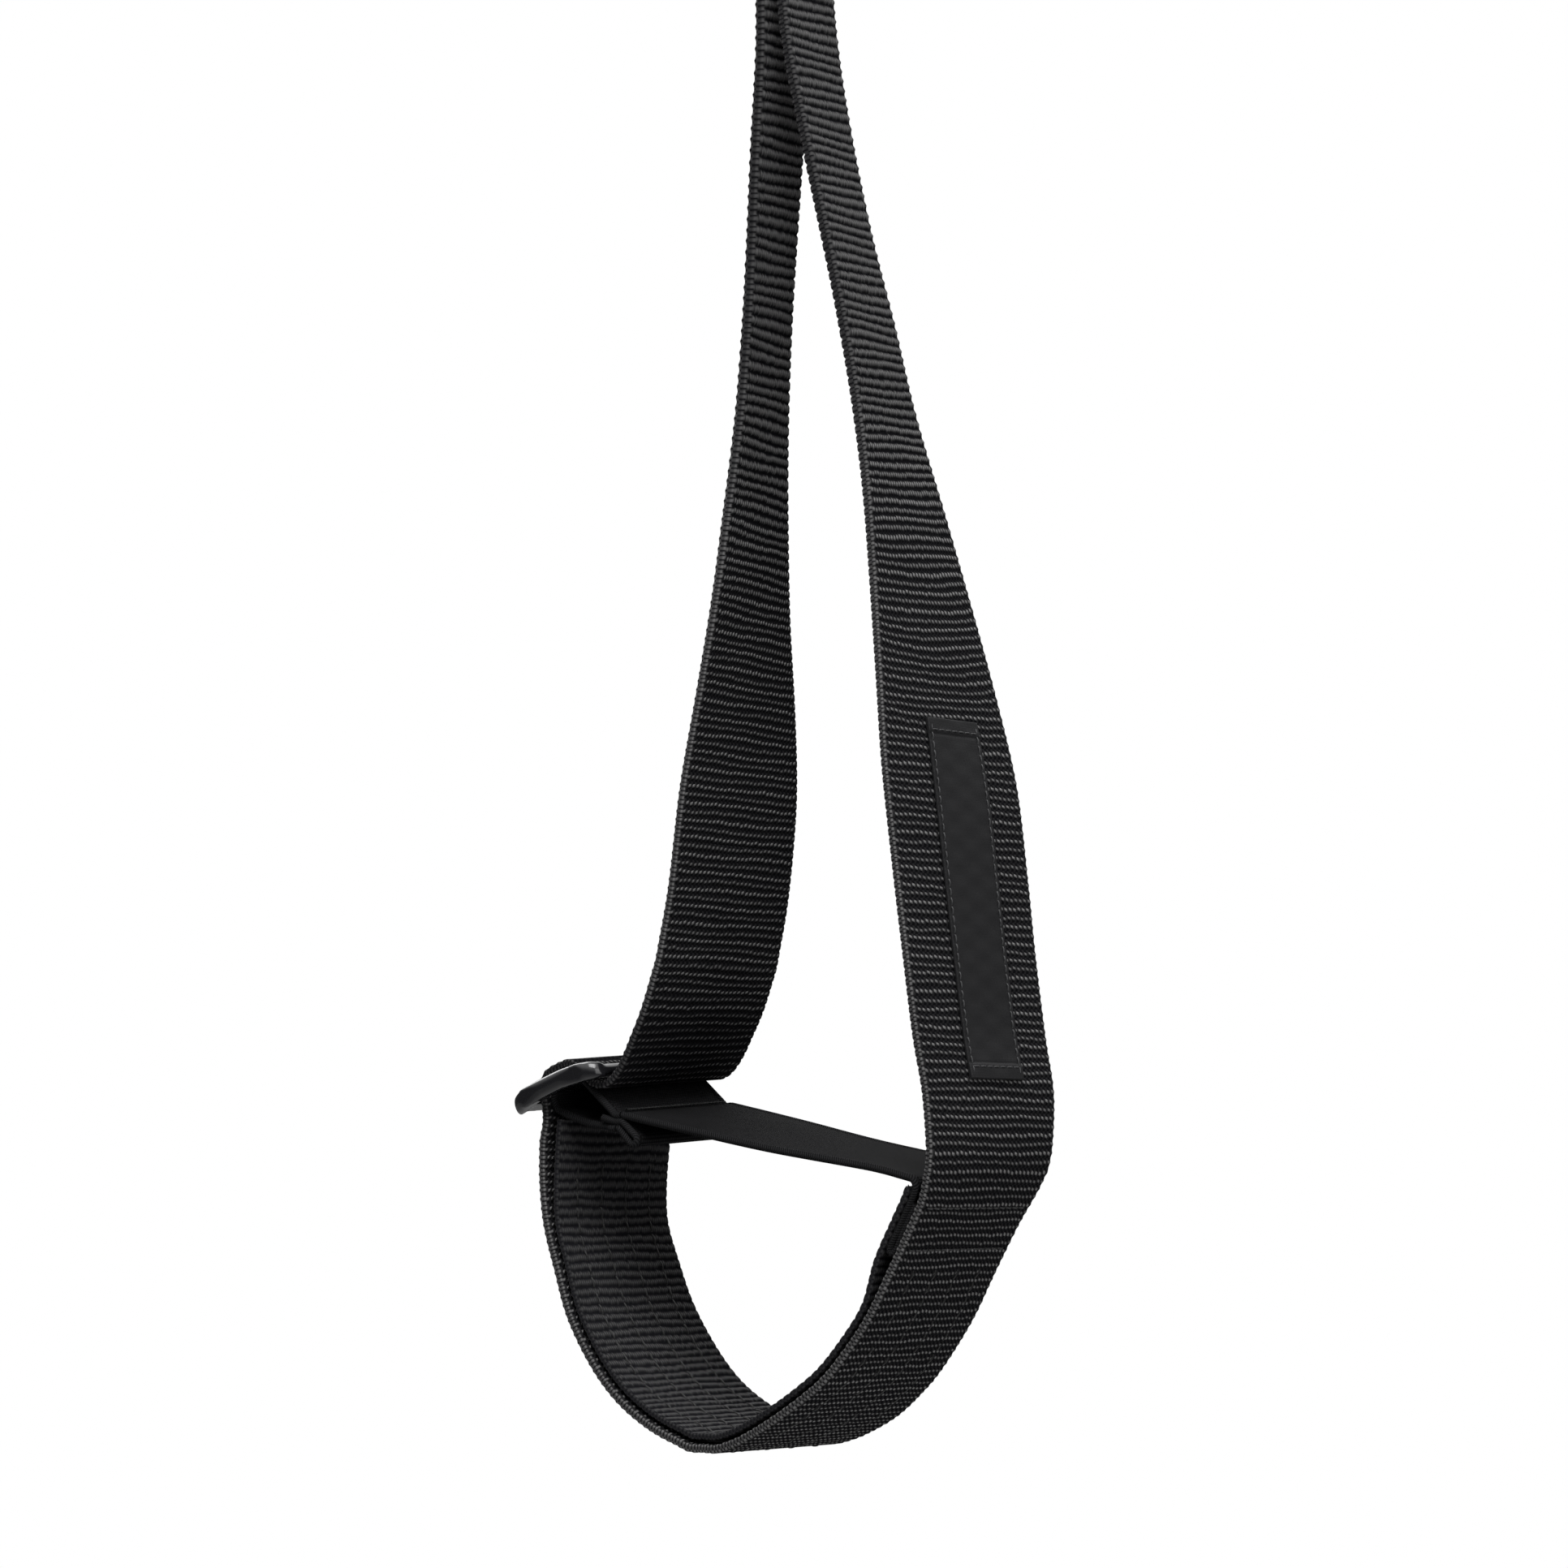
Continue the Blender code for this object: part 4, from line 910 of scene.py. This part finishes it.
def add_webbing(settings):
    """Left leg, both halves of the wrap through the slider, step and right leg, in one run of ribs."""
    whole, (leg_end, wrap_end, joint) = main_webbing(settings)
    lengths = whole.lengths
    opened = smooth_step((whole.width - NARROWEST) / (WIDEST - NARROWEST))
    narrow = np.where(lengths > joint, RIGHT_NARROW_SHARE, 1.0) * settings.narrow_rib
    pitches = narrow + (settings.wide_rib - narrow) * opened
    rows, ribs = rib_rows(whole, pitches)
    heights = whole.at(rows).middle[:, 2]
    grooves = np.abs(ribs % 1 - 0.5) < 0.5 / RIB_SAMPLES
    wrap = grooves & (rows > (leg_end + wrap_end) / 2) & (rows < wrap_end)
    crest = rows[wrap][np.argmax(heights[wrap])]
    approach = rows[grooves & (rows < crest) & (heights > APPROACH_HEIGHT)].max()
    leave = rows[grooves & (rows > crest) & (heights < LEAVE_HEIGHT)].min()

    spread = np.interp(rows, lengths, opened)
    relief = settings.narrow_relief + (settings.wide_relief - settings.narrow_relief) * spread
    right = rows > joint
    askew = np.where(right, -np.interp(heights, *zip(*RIGHT_SKEW)), np.interp(heights, *zip(*LEFT_SKEW)))
    askew[(rows > leg_end) & ~right] = 0
    askew = askew / np.interp(rows, lengths, pitches)
    # Painted shade: threads darkened on the wrap round the slider, from just past the left leg's end to where
    # it leaves for the step
    worn = smooth_step((rows - leg_end - PAINTED_SHADE_FROM) / PAINTED_SHADE_FADE) * smooth_step((leave - rows) / PAINTED_SHADE_FADE)

    cuts = (
        ("left_leg", 0.0, approach, ("left_leg_webbing",)),
        ("slider_wrap_upper", approach, crest, ("slider_wrap_webbing", "left_leg_webbing")),
        ("slider_wrap_lower", crest, leave, ("slider_wrap_webbing",)),
        ("step", leave, joint, ("step_webbing",)),
        ("right_leg", joint, lengths[-1], ("right_leg_webbing",)),
    )
    pieces = {}
    for name, start, end, nodes in cuts:
        inside = (rows > start + FINE_STEP) & (rows < end - FINE_STEP)
        at = np.concatenate([[start], rows[inside], [end]])
        number, height, slant, rise, opening, row_shade = (
            np.interp(at, rows, values) for values in (ribs, heights, askew, relief, spread, worn)
        )
        smile = np.clip((height - SMILE_BOTTOM) / (SMILE_TOP - SMILE_BOTTOM), 0, 1)
        smile = np.sin(math.pi * smile) ** 2 * (at > joint) * SMILE_DEPTH
        widths = np.interp(at, lengths, whole.width)

        def shift(across, number, smile=smile[:, None], widths=widths[:, None], slant=slant[:, None]):
            return waves(across, number) + smile * (1 - (2 * across / widths - 1) ** 2) + slant * across

        pairs = settings.warp_pairs
        piece = woven(f"{name}_woven", whole, at, number, rise, pairs, opening, shift, worn=row_shade)
        slot = "step_webbing" if name == "step" else "leg_webbing"
        pieces[name] = finish_piece(piece, "black_webbing", slot, *nodes)
    bar_x = node_middle("tri_glide_slider").x - 0.006
    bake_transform(pieces["left_leg"])
    start, end = (-0.0195, 0, APPROACH_HEIGHT - 0.004), (-0.034, 0, -0.3155)
    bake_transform(pieces["slider_wrap_upper"])
    start, end = (bar_x, 0, -0.327), (bar_x, 0, LEAVE_HEIGHT + 0.001)
    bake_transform(pieces["slider_wrap_lower"])
    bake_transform(pieces["step"])
    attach(pieces["right_leg"], LOOP)


# The straight webbing by the first word of a node's name: slot, and share of the full relief
STRAIGHT = {"eye": ("eye_webbing", 0.7), "webbing": ("leg_webbing", 0.42), "neck": ("neck_webbing", 0.42)}

# How far a neck layer reaches past its solid, to meet the layers above and below
NECK_LAP = 0.35 * MM


def add_straight_webbing(settings):
    """Eye layers, neck layers and the two webbing ends, in the narrow weave."""
    low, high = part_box("neck_layer_1")
    nodes = ["eye_inner_layer", "eye_outer_layer", "webbing_end_left", "webbing_end_right"]
    for node in nodes + [f"neck_layer_{layer}" for layer in range(1, 5)]:
        kind = node.split("_")[0]
        slot, share = STRAIGHT[kind]
        strap = read_strap(node, (-1, 0, high.z) if kind == "eye" else (0, 0, 1))
        if kind == "neck":
            for edge in (strap.near, strap.far):
                edge[0, 2] += NECK_LAP
                edge[-1, 2] -= NECK_LAP
        rows, ribs = rib_rows(strap, settings.narrow_rib)
        relief = settings.narrow_relief * share
        piece = woven(node + "_woven", strap, rows, ribs, relief, settings.warp_pairs, shift=waves)
        finish_piece(piece, "black_webbing", slot, node)
        if kind == "neck":
            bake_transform(piece)
        else:
            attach(piece, EYE if kind == "eye" else LOOP)


# The lining: its warp threads to the webbing's, and how far a seam dips and gathers the cloth beside it
LINING_PAIRS_SHARE = 1.9
DIMPLE_REACH = 0.9 * MM
GATHER_REACH = 1.6 * MM
GATHER = 0.07

# The frayed end: threads, their diameter, and how far they start inside the lining
FRAYED_THREADS = 78
FRAYED_DIAMETER = 0.22 * MM
FRAYED_ROOT = 0.3 * MM


def add_lining(settings, webbing):
    """The step's ribbed lining, dimpled along its quilting, and the stiffener behind it."""
    strap = read_strap("step_lining", node_middle("tri_glide_slider")).extended(settings.lining_reach)
    near = strap.near[:, 1].mean()
    seams = [node_middle(f"quilting_row_inner_{number}").y - near for number in range(1, 5)]
    rows, ribs = rib_rows(strap, settings.rib)

    def dimples(across, number):
        tight = 1 + 0.35 * np.cos(2 * math.pi * number * settings.rib / settings.stitch)
        return -settings.dimple * tight * sum(bell(across - seam, DIMPLE_REACH) for seam in seams)

    def shift(across, number):
        return waves(across, number) + GATHER * sum(bell(across - seam, GATHER_REACH) for seam in seams)

    pairs = round(LINING_PAIRS_SHARE * webbing.warp_pairs)
    piece = woven(
        "step_lining_woven", strap, rows, ribs, settings.relief, pairs, shift=shift, extra=dimples, bead=0.6
    )
    finish_piece(piece, "lining_webbing", "step_lining", "step_lining")
    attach(piece, LOOP)

    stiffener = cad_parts["step_stiffener"]
    stiffener.data.materials.clear()
    stiffener.data.materials.append(bpy.data.materials["slider_coating"])


def add_frayed_end():
    """Melted thread ends along the cut edge of the lining at the step's right corner."""
    strap = read_strap("step_lining", node_middle("tri_glide_slider"))
    random = np.random.default_rng(7)
    along = unit(strap.middle[-1] - strap.middle[-2])
    normal = strap.normals[-1]
    paths = []
    for share in np.linspace(0.01, 0.99, FRAYED_THREADS):
        root = strap.across(share)[-1] + normal * random.uniform(-0.4, 0.4) * MM
        lean = along + normal * random.uniform(-0.7, 0.7) + np.array([0, random.uniform(-0.6, 0.6), 0])
        reach = random.uniform(0.2, 0.75) * MM
        curl = np.array([random.uniform(-0.2, 0.2) for _ in range(3)]) * MM
        tip = root + lean * reach + curl
        paths.append(np.array([root - along * FRAYED_ROOT, root + lean * reach * 0.5, tip]))
    piece = thread_curve("lining_frayed_end", paths, FRAYED_DIAMETER)
    finish_piece(piece, "sewing_thread", "step_lining")
    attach(piece, LOOP)


def add_stitching(settings):
    """Quilting rows and the rows that join the elastic's end, as single stitches."""
    centre = np.array(node_middle("step_lining"))
    for side, inward, sink in (("inner", 1, settings.dimple), ("outer", -1, OUTER_SINK)):
        for number in range(1, 5):
            node = f"quilting_row_{side}_{number}"
            strap = read_strap(node, node_middle("tri_glide_slider"))
            fine = strap.at(np.linspace(0, strap.lengths[-1], QUILTING_POINTS))
            away = facing(fine.normals, inward * (centre - fine.middle))
            line = fine.middle - away * (ROW_STANDOFF + 0.6 * sink)
            paths = stitch_paths(line, away, settings.stitch, settings.thread, sink)
            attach(sewn(node, paths, settings.thread, "tack_thread", "quilting_thread"), LOOP)
        for number in (1, 2):
            node = f"strap_joint_row_{side}_{number}"
            strap = read_strap(node, (0, 0, 1))
            share = np.linspace(0, 1, JOINT_POINTS)[:, None]
            line = strap.near.mean(axis=0) * (1 - share) + strap.far.mean(axis=0) * share
            away = facing(strap.normal, inward * (centre - line[0]))
            line = line - away * ROW_STANDOFF
            stitch = settings.stitch * JOINT_STITCH_SHARE
            paths = stitch_paths(line, away + 0 * line, stitch, settings.thread, JOINT_SINK)
            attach(sewn(node, paths, settings.thread, "sewing_thread", "joint_thread"), LOOP)


def add_bar_tacks(settings):
    """Bar tacks over the stack and the zigzag tack of the elastic."""
    for node in [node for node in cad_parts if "bar_tack" in node]:
        strap = read_strap(node, (0, 0, 1))
        away = facing(strap.normal, strap.middle.mean(axis=0) - [0, 0, strap.middle[0, 2]])
        path = zigzag_path(strap, away, BAR_TACK_PITCH, settings.thread)
        ends = np.stack([strap.near[:2], strap.far[:2]], axis=1)
        rails = ends * (1 - RAIL_SHARE) + ends[::-1] * RAIL_SHARE - away * RAIL_SINK
        piece = sewn(node, [path, *rails], settings.thread * BAR_TACK_THREAD, "sewing_thread", "bar_tack")
        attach(piece, EYE if node.startswith("eye") else LOOP)
    for side, up in (("upper", 1), ("lower", -1)):
        node = f"elastic_tack_row_{side}"
        strap = read_strap(node, (1, 0, 0))
        strap = Strap(strap.across(TACK_INSET), strap.across(1 - TACK_INSET), strap.thickness)
        path = zigzag_path(strap, np.array([0, 0, up]), ELASTIC_TACK_PITCH, settings.thread)
        piece = sewn(node, [path], settings.thread * ELASTIC_TACK_THREAD, "tack_thread", "elastic_thread")
        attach(piece, CARRIAGE)


# The elastic: stitches across its knit, and the widths of an edge's crowded columns and of its wrapped roll
KNIT_STITCHES = 52
EDGE_BAND = 3.2 * MM
SELVEDGE_END = 1.5 * MM
SELVEDGE_FADE = 0.25 * MM

# A groove and a cord beside the roll: height, place from the edge in radii of the roll, and reach
BESIDE_ROLL = ((-0.26 * MM, 2.1, 0.18 * MM), (0.05 * MM, 2.7, 0.25 * MM))


def elastic_mesh(name, strap, settings):
    """A strap of elastic: even face, thicker rolled edges with a groove and a cord beside them."""
    rows, ribs = rib_rows(strap, settings.rib, samples=2)
    strap = strap.at(rows)
    width = strap.width[:, None]
    half = strap.thickness[:, None] / 2
    edge = half * (1 - np.cos(np.linspace(0.12, math.pi / 2, 9)))
    band = half + (EDGE_BAND - half) * np.linspace(0, 1, 18)[1:]
    centre = EDGE_BAND + (width - 2 * EDGE_BAND) * np.linspace(0, 1, 14)[1:-1]
    across = np.concatenate([edge, band, centre, width - band[:, ::-1], width - edge[:, ::-1]], axis=1)
    from_edge = np.minimum(across, width - across)

    radius = settings.roll / 2
    roll = np.sqrt(np.clip(1 - (from_edge / radius - 1) ** 2, 0, 1)) * radius - half
    beside = sum(rise * bell(from_edge - place * radius, reach) for rise, place, reach in BESIDE_ROLL)
    lift = np.sqrt(np.clip(1 - (1 - np.minimum(from_edge / half, 1)) ** 2, 0, 1))
    height = lift * (half + np.where(from_edge < 2 * radius, np.maximum(roll, 0), beside))
    faces = [strap.raised(across, side * height, strap.normals) for side in (1, -1)]
    weave = np.stack([across / width * KNIT_STITCHES, ribs[:, None] + 0 * across], axis=2)
    selvedge = 1 - smooth_step((from_edge - SELVEDGE_END) / SELVEDGE_FADE)
    return grid_object(name, *faces, weave, 2 * KNIT_STITCHES, {"selvedge": selvedge})


def add_elastics(settings):
    """The instep strap, its loop round the slider's bar and its folded tail."""
    tack = node_middle("elastic_tack_row_upper")
    pieces = {}
    for node in ("instep_elastic", "elastic_bar_loop", "elastic_tail_fold"):
        piece = elastic_mesh(node + "_knit", read_strap(node, tack), settings)
        pieces[node] = finish_piece(piece, "covered_elastic", "elastic", node)
    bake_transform(pieces["instep_elastic"])
    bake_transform(pieces["elastic_bar_loop"])
    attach(pieces["elastic_tail_fold"], CARRIAGE)


def add_slider(settings):
    """The slider's own solid, rounded to a smooth casting."""
    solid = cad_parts["tri_glide_slider"].data
    piece = link(bpy.data.objects.new("slider_casting", solid.copy()))
    piece.data.materials.clear()
    piece.modifiers.new("Weld", "WELD").merge_threshold = WELD
    remesh = piece.modifiers.new("Grid", "REMESH")
    remesh.mode = "VOXEL"
    remesh.voxel_size = settings.grain
    soften = piece.modifiers.new("Soften", "SMOOTH")
    soften.factor = 0.6
    soften.iterations = 16
    graph = bpy.context.evaluated_depsgraph_get()
    rounded = bpy.data.meshes.new_from_object(piece.evaluated_get(graph))
    piece.modifiers.clear()
    piece.data = rounded
    rounded.shade_smooth()
    finish_piece(piece, "slider_coating", "slider_metal", "tri_glide_slider")
    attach(piece, SLIDER)


# The label: its weave, the rise of its turned end, the crease beside that, and its ripple
LABEL_RIB = 0.55 * MM
LABEL_PAIRS = 44
LABEL_ROWS = 320
LABEL_RELIEF = 0.02 * MM
HEM_RISE = 0.16 * MM
HEM_SLOPE = 0.35 * MM
CREASE_DEPTH = 0.10 * MM
CREASE_REACH = 0.30 * MM
RIPPLE = 0.05 * MM
RIPPLE_LENGTH = 5.2 * MM
RIPPLE_WIDTH = 9.0 * MM

# The label's seam: inset from the edges, place in the hem, thread, and points along a side and an end
SEAM_INSET = 0.95 * MM
SEAM_IN_HEM = 0.8
SEAM_THREAD = 0.30 * MM
SEAM_SINK = 0.15 * MM
SEAM_STITCH_SHARE = 0.62
SIDE_POINTS = 300
END_POINTS = 60


def add_label(settings, step):
    """The bare woven label with its turned ends, and the stitches round it."""
    strap = read_strap("label_patch", (0, 0, 1))
    strap.near = strap.near + unit(strap.near - strap.far) * settings.margin
    total = strap.lengths[-1]
    rows = np.linspace(0, total, LABEL_ROWS)

    def hems(across, number):
        along = number * LABEL_RIB
        from_fold = np.minimum(along, total - along) - settings.hem
        turned = HEM_RISE * (1 - smooth_step(from_fold / HEM_SLOPE))
        crease = CREASE_DEPTH * bell(from_fold - CREASE_REACH, CREASE_REACH)
        ripple = np.sin(2 * math.pi * along / RIPPLE_LENGTH) * np.cos(2 * math.pi * across / RIPPLE_WIDTH)
        return turned - crease + RIPPLE * ripple

    ribs = rows / LABEL_RIB
    piece = woven("label_woven", strap, rows, ribs, LABEL_RELIEF, LABEL_PAIRS, extra=hems, bead=0.3)
    finish_piece(piece, "label_weave", "label", "label_patch")
    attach(piece, LOOP)

    fine = strap.at(np.linspace(0, total, SIDE_POINTS))
    away = facing(fine.normals, np.array([1, 0, 0]))
    raised = away * fine.thickness[:, None] / 2
    inset = SEAM_INSET / fine.width[:, None]
    seams = []
    for share in (inset, 1 - inset):
        seams.append(((fine.across(share) + raised)[4:-4], away[4:-4]))
    hem_seam = settings.hem * SEAM_IN_HEM / total
    for share in (hem_seam, 1 - hem_seam):
        index = round(share * (len(inset) - 1))
        shares = np.linspace(inset[index], 1 - inset[index], END_POINTS)
        line = fine.near[index] + (fine.far[index] - fine.near[index]) * shares
        line = line + raised[index] + away[index] * OUTER_SINK
        seams.append((line, away[index] + 0 * line))
    paths = []
    for line, normals in seams:
        paths += stitch_paths(line, normals, step.stitch * SEAM_STITCH_SHARE, SEAM_THREAD, SEAM_SINK)
    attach(sewn("label_seam", paths, SEAM_THREAD, "seam_thread", "label_thread"), LOOP)


CAMERA_PLACE = Vector((0.5454, -0.6550, -0.3420))
CAMERA_TURN = math.radians(40)
CAMERA_RISE = 0.0968
LAMPS_AIM = Vector((0, 0, -0.2))
LAMP_SIZE = 0.7
LAMP_PLACES = {"key": (0.42, -0.58, 0.62), "fill": (1.02, -0.34, -0.05), "back": (-0.77, 0.14, 0.42)}
FLOOR_DROP = 0.75
FLOOR_SIZE = 5.0
FLOOR_GLOW = 0.62


def pointed(name, data, place, forward):
    """A camera or lamp at its place, turned to look forward."""
    obj = link(bpy.data.objects.new(name, data))
    obj.location = place
    obj.rotation_euler = forward.to_track_quat("-Z", "Y").to_euler()
    return obj


def add_stage(settings):
    """Camera at the photograph's angle, a large lamp overhead, a weak one by the camera, and a pale floor."""
    scene = bpy.context.scene
    camera = bpy.data.cameras.new("camera")
    camera.lens = settings.lens
    camera.sensor_width = 36.0
    camera.clip_start = 0.01
    camera.clip_end = 50.0
    forward = Vector((-math.sin(CAMERA_TURN), math.cos(CAMERA_TURN), CAMERA_RISE))
    scene.camera = pointed("camera", camera, CAMERA_PLACE, forward)
    for name, place in LAMP_PLACES.items():
        lamp = bpy.data.lights.new(name + "_lamp", "AREA")
        lamp.energy = getattr(settings, name)
        lamp.size = LAMP_SIZE
        pointed(name + "_lamp", lamp, place, LAMPS_AIM - Vector(place))

    mesh = bpy.data.meshes.new("floor")
    shape = bmesh.new()
    bmesh.ops.create_circle(shape, cap_ends=True, segments=96, radius=FLOOR_SIZE)
    shape.to_mesh(mesh)
    shape.free()
    floor = link(bpy.data.objects.new("floor", mesh))
    floor.location.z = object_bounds()[0][2] - FLOOR_DROP
    ground = Material("pale_floor", 0.9, 0.2)
    pale = ground.colour(ground.read("TexNoise", Scale=3.0), (0.90, 0.90, 0.90), (0.94, 0.94, 0.94))
    seen = ground.read("LightPath", "Is Camera Ray")
    ground.feed(Base_Color=pale, Emission_Color=pale, Emission_Strength=seen * FLOOR_GLOW)
    mesh.materials.append(ground.material)
    floor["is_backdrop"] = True

    world = bpy.data.worlds.new("studio")
    scene.world = world
    world.use_nodes = True
    nodes = Nodes(world.node_tree)
    height = nodes.read("SeparateXYZ", 2, Vector=nodes.read("TexCoord", "Generated"))
    mirrored = nodes.read("MapRange", Value=height, From_Min=0.15, From_Max=0.6, To_Min=0.06, To_Max=1.6)
    strength = nodes.lerp(nodes.read("LightPath", "Is Glossy Ray"), settings.ambient, mirrored)
    strength = nodes.lerp(nodes.read("LightPath", "Is Camera Ray"), strength, 1.0)
    nodes.set(world.node_tree.nodes["Background"], Color=(1, 1, 1, 1), Strength=strength)
    scene.view_settings.view_transform = "Standard"


def make_materials(scene):
    """The two shader groups, and the material of every piece."""
    grain_group()
    weave_group()
    webbing = scene.etrier_webbing
    # The crown colours are painted highlights and the groove colours painted shade, with less contrast on the
    # lining
    woven_material("black_webbing", webbing.crown, webbing.groove)
    woven_material("lining_webbing", shaded(webbing.crown, 0.45), shaded(webbing.groove, 1.8), ragged=0.20)
    elastic_material("covered_elastic", scene.etrier_elastic.colour)
    thread_material("sewing_thread", (0.030, 0.030, 0.031))
    thread_material("tack_thread", (0.014, 0.014, 0.014))
    thread_material("seam_thread", (0.050, 0.050, 0.052))
    label_material("label_weave", scene.etrier_label.colour)
    slider_material("slider_coating", scene.etrier_slider.colour)


class ETRIER_OT_materials(bpy.types.Operator):
    """Makes the shader groups and the materials of every piece"""

    bl_idname = "etrier.materials"
    bl_label = "Materials"

    def execute(self, context):
        make_materials(context.scene)
        return {"FINISHED"}


class ETRIER_OT_webbing(bpy.types.Operator):
    """Weaves both legs, the wrap through the slider and the step"""

    bl_idname = "etrier.webbing"
    bl_label = "Main webbing"

    def execute(self, context):
        add_webbing(context.scene.etrier_webbing)
        return {"FINISHED"}


class ETRIER_OT_eye(bpy.types.Operator):
    """Weaves the clip-in eye, the neck and the webbing ends"""

    bl_idname = "etrier.eye"
    bl_label = "Eye and neck"

    def execute(self, context):
        add_straight_webbing(context.scene.etrier_webbing)
        return {"FINISHED"}


class ETRIER_OT_lining(bpy.types.Operator):
    """Weaves the step's lining and frays its cut end"""

    bl_idname = "etrier.lining"
    bl_label = "Step lining"

    def execute(self, context):
        add_lining(context.scene.etrier_step, context.scene.etrier_webbing)
        add_frayed_end()
        return {"FINISHED"}


class ETRIER_OT_stitching(bpy.types.Operator):
    """Sews the quilting and the rows that hold the elastic's end"""

    bl_idname = "etrier.stitching"
    bl_label = "Step stitching"

    def execute(self, context):
        add_stitching(context.scene.etrier_step)
        return {"FINISHED"}


class ETRIER_OT_tacks(bpy.types.Operator):
    """Sews the bar tacks and the elastic's zigzag tack"""

    bl_idname = "etrier.tacks"
    bl_label = "Bar tacks"

    def execute(self, context):
        add_bar_tacks(context.scene.etrier_step)
        return {"FINISHED"}


class ETRIER_OT_elastics(bpy.types.Operator):
    """Makes the instep strap, its loop round the slider and its tail"""

    bl_idname = "etrier.elastics"
    bl_label = "Instep elastic"

    def execute(self, context):
        add_elastics(context.scene.etrier_elastic)
        return {"FINISHED"}


class ETRIER_OT_slider(bpy.types.Operator):
    """Rounds and coats the three-bar slider"""

    bl_idname = "etrier.slider"
    bl_label = "Slider"

    def execute(self, context):
        add_slider(context.scene.etrier_slider)
        return {"FINISHED"}


class ETRIER_OT_label(bpy.types.Operator):
    """Makes the bare label and its seam"""

    bl_idname = "etrier.label"
    bl_label = "Label"

    def execute(self, context):
        add_label(context.scene.etrier_label, context.scene.etrier_step)
        return {"FINISHED"}


class ETRIER_OT_stage(bpy.types.Operator):
    """Sets the camera, lamps, floor and background"""

    bl_idname = "etrier.stage"
    bl_label = "Stage"

    def execute(self, context):
        add_stage(context.scene.etrier_stage)
        return {"FINISHED"}


OPERATORS = (
    ETRIER_OT_materials,
    ETRIER_OT_webbing,
    ETRIER_OT_eye,
    ETRIER_OT_lining,
    ETRIER_OT_stitching,
    ETRIER_OT_tacks,
    ETRIER_OT_elastics,
    ETRIER_OT_slider,
    ETRIER_OT_label,
    ETRIER_OT_stage,
)
SETTINGS = {
    "etrier_webbing": EtrierWebbing,
    "etrier_step": EtrierStep,
    "etrier_elastic": EtrierElastic,
    "etrier_slider": EtrierSlider,
    "etrier_label": EtrierLabel,
    "etrier_stage": EtrierStage,
}


class ETRIER_PT_sidebar(bpy.types.Panel):
    """Sizes and colours of the etrier, with a button for each group of pieces"""

    bl_idname = "ETRIER_PT_sidebar"
    bl_label = "Etrier"
    bl_space_type = "VIEW_3D"
    bl_region_type = "UI"
    bl_category = "Etrier"

    def draw(self, context):
        for name, group in SETTINGS.items():
            box = self.layout.box()
            for key in group.__annotations__:
                box.prop(getattr(context.scene, name), key)
        for operator in OPERATORS:
            self.layout.operator(operator.bl_idname)


def register():
    for name, group in SETTINGS.items():
        bpy.utils.register_class(group)
        setattr(bpy.types.Scene, name, bpy.props.PointerProperty(type=group))
    for cls in (*OPERATORS, ETRIER_PT_sidebar):
        bpy.utils.register_class(cls)


def unregister():
    for cls in (ETRIER_PT_sidebar, *reversed(OPERATORS)):
        bpy.utils.unregister_class(cls)
    for name, group in SETTINGS.items():
        delattr(bpy.types.Scene, name)
        bpy.utils.unregister_class(group)


def main():
    register()
    bpy.ops.etrier.materials()
    bpy.ops.etrier.webbing()
    bpy.ops.etrier.eye()
    bpy.ops.etrier.lining()
    bpy.ops.etrier.stitching()
    bpy.ops.etrier.tacks()
    bpy.ops.etrier.elastics()
    bpy.ops.etrier.slider()
    bpy.ops.etrier.label()
    bpy.ops.etrier.stage()


if __name__ == "__main__":
    main()
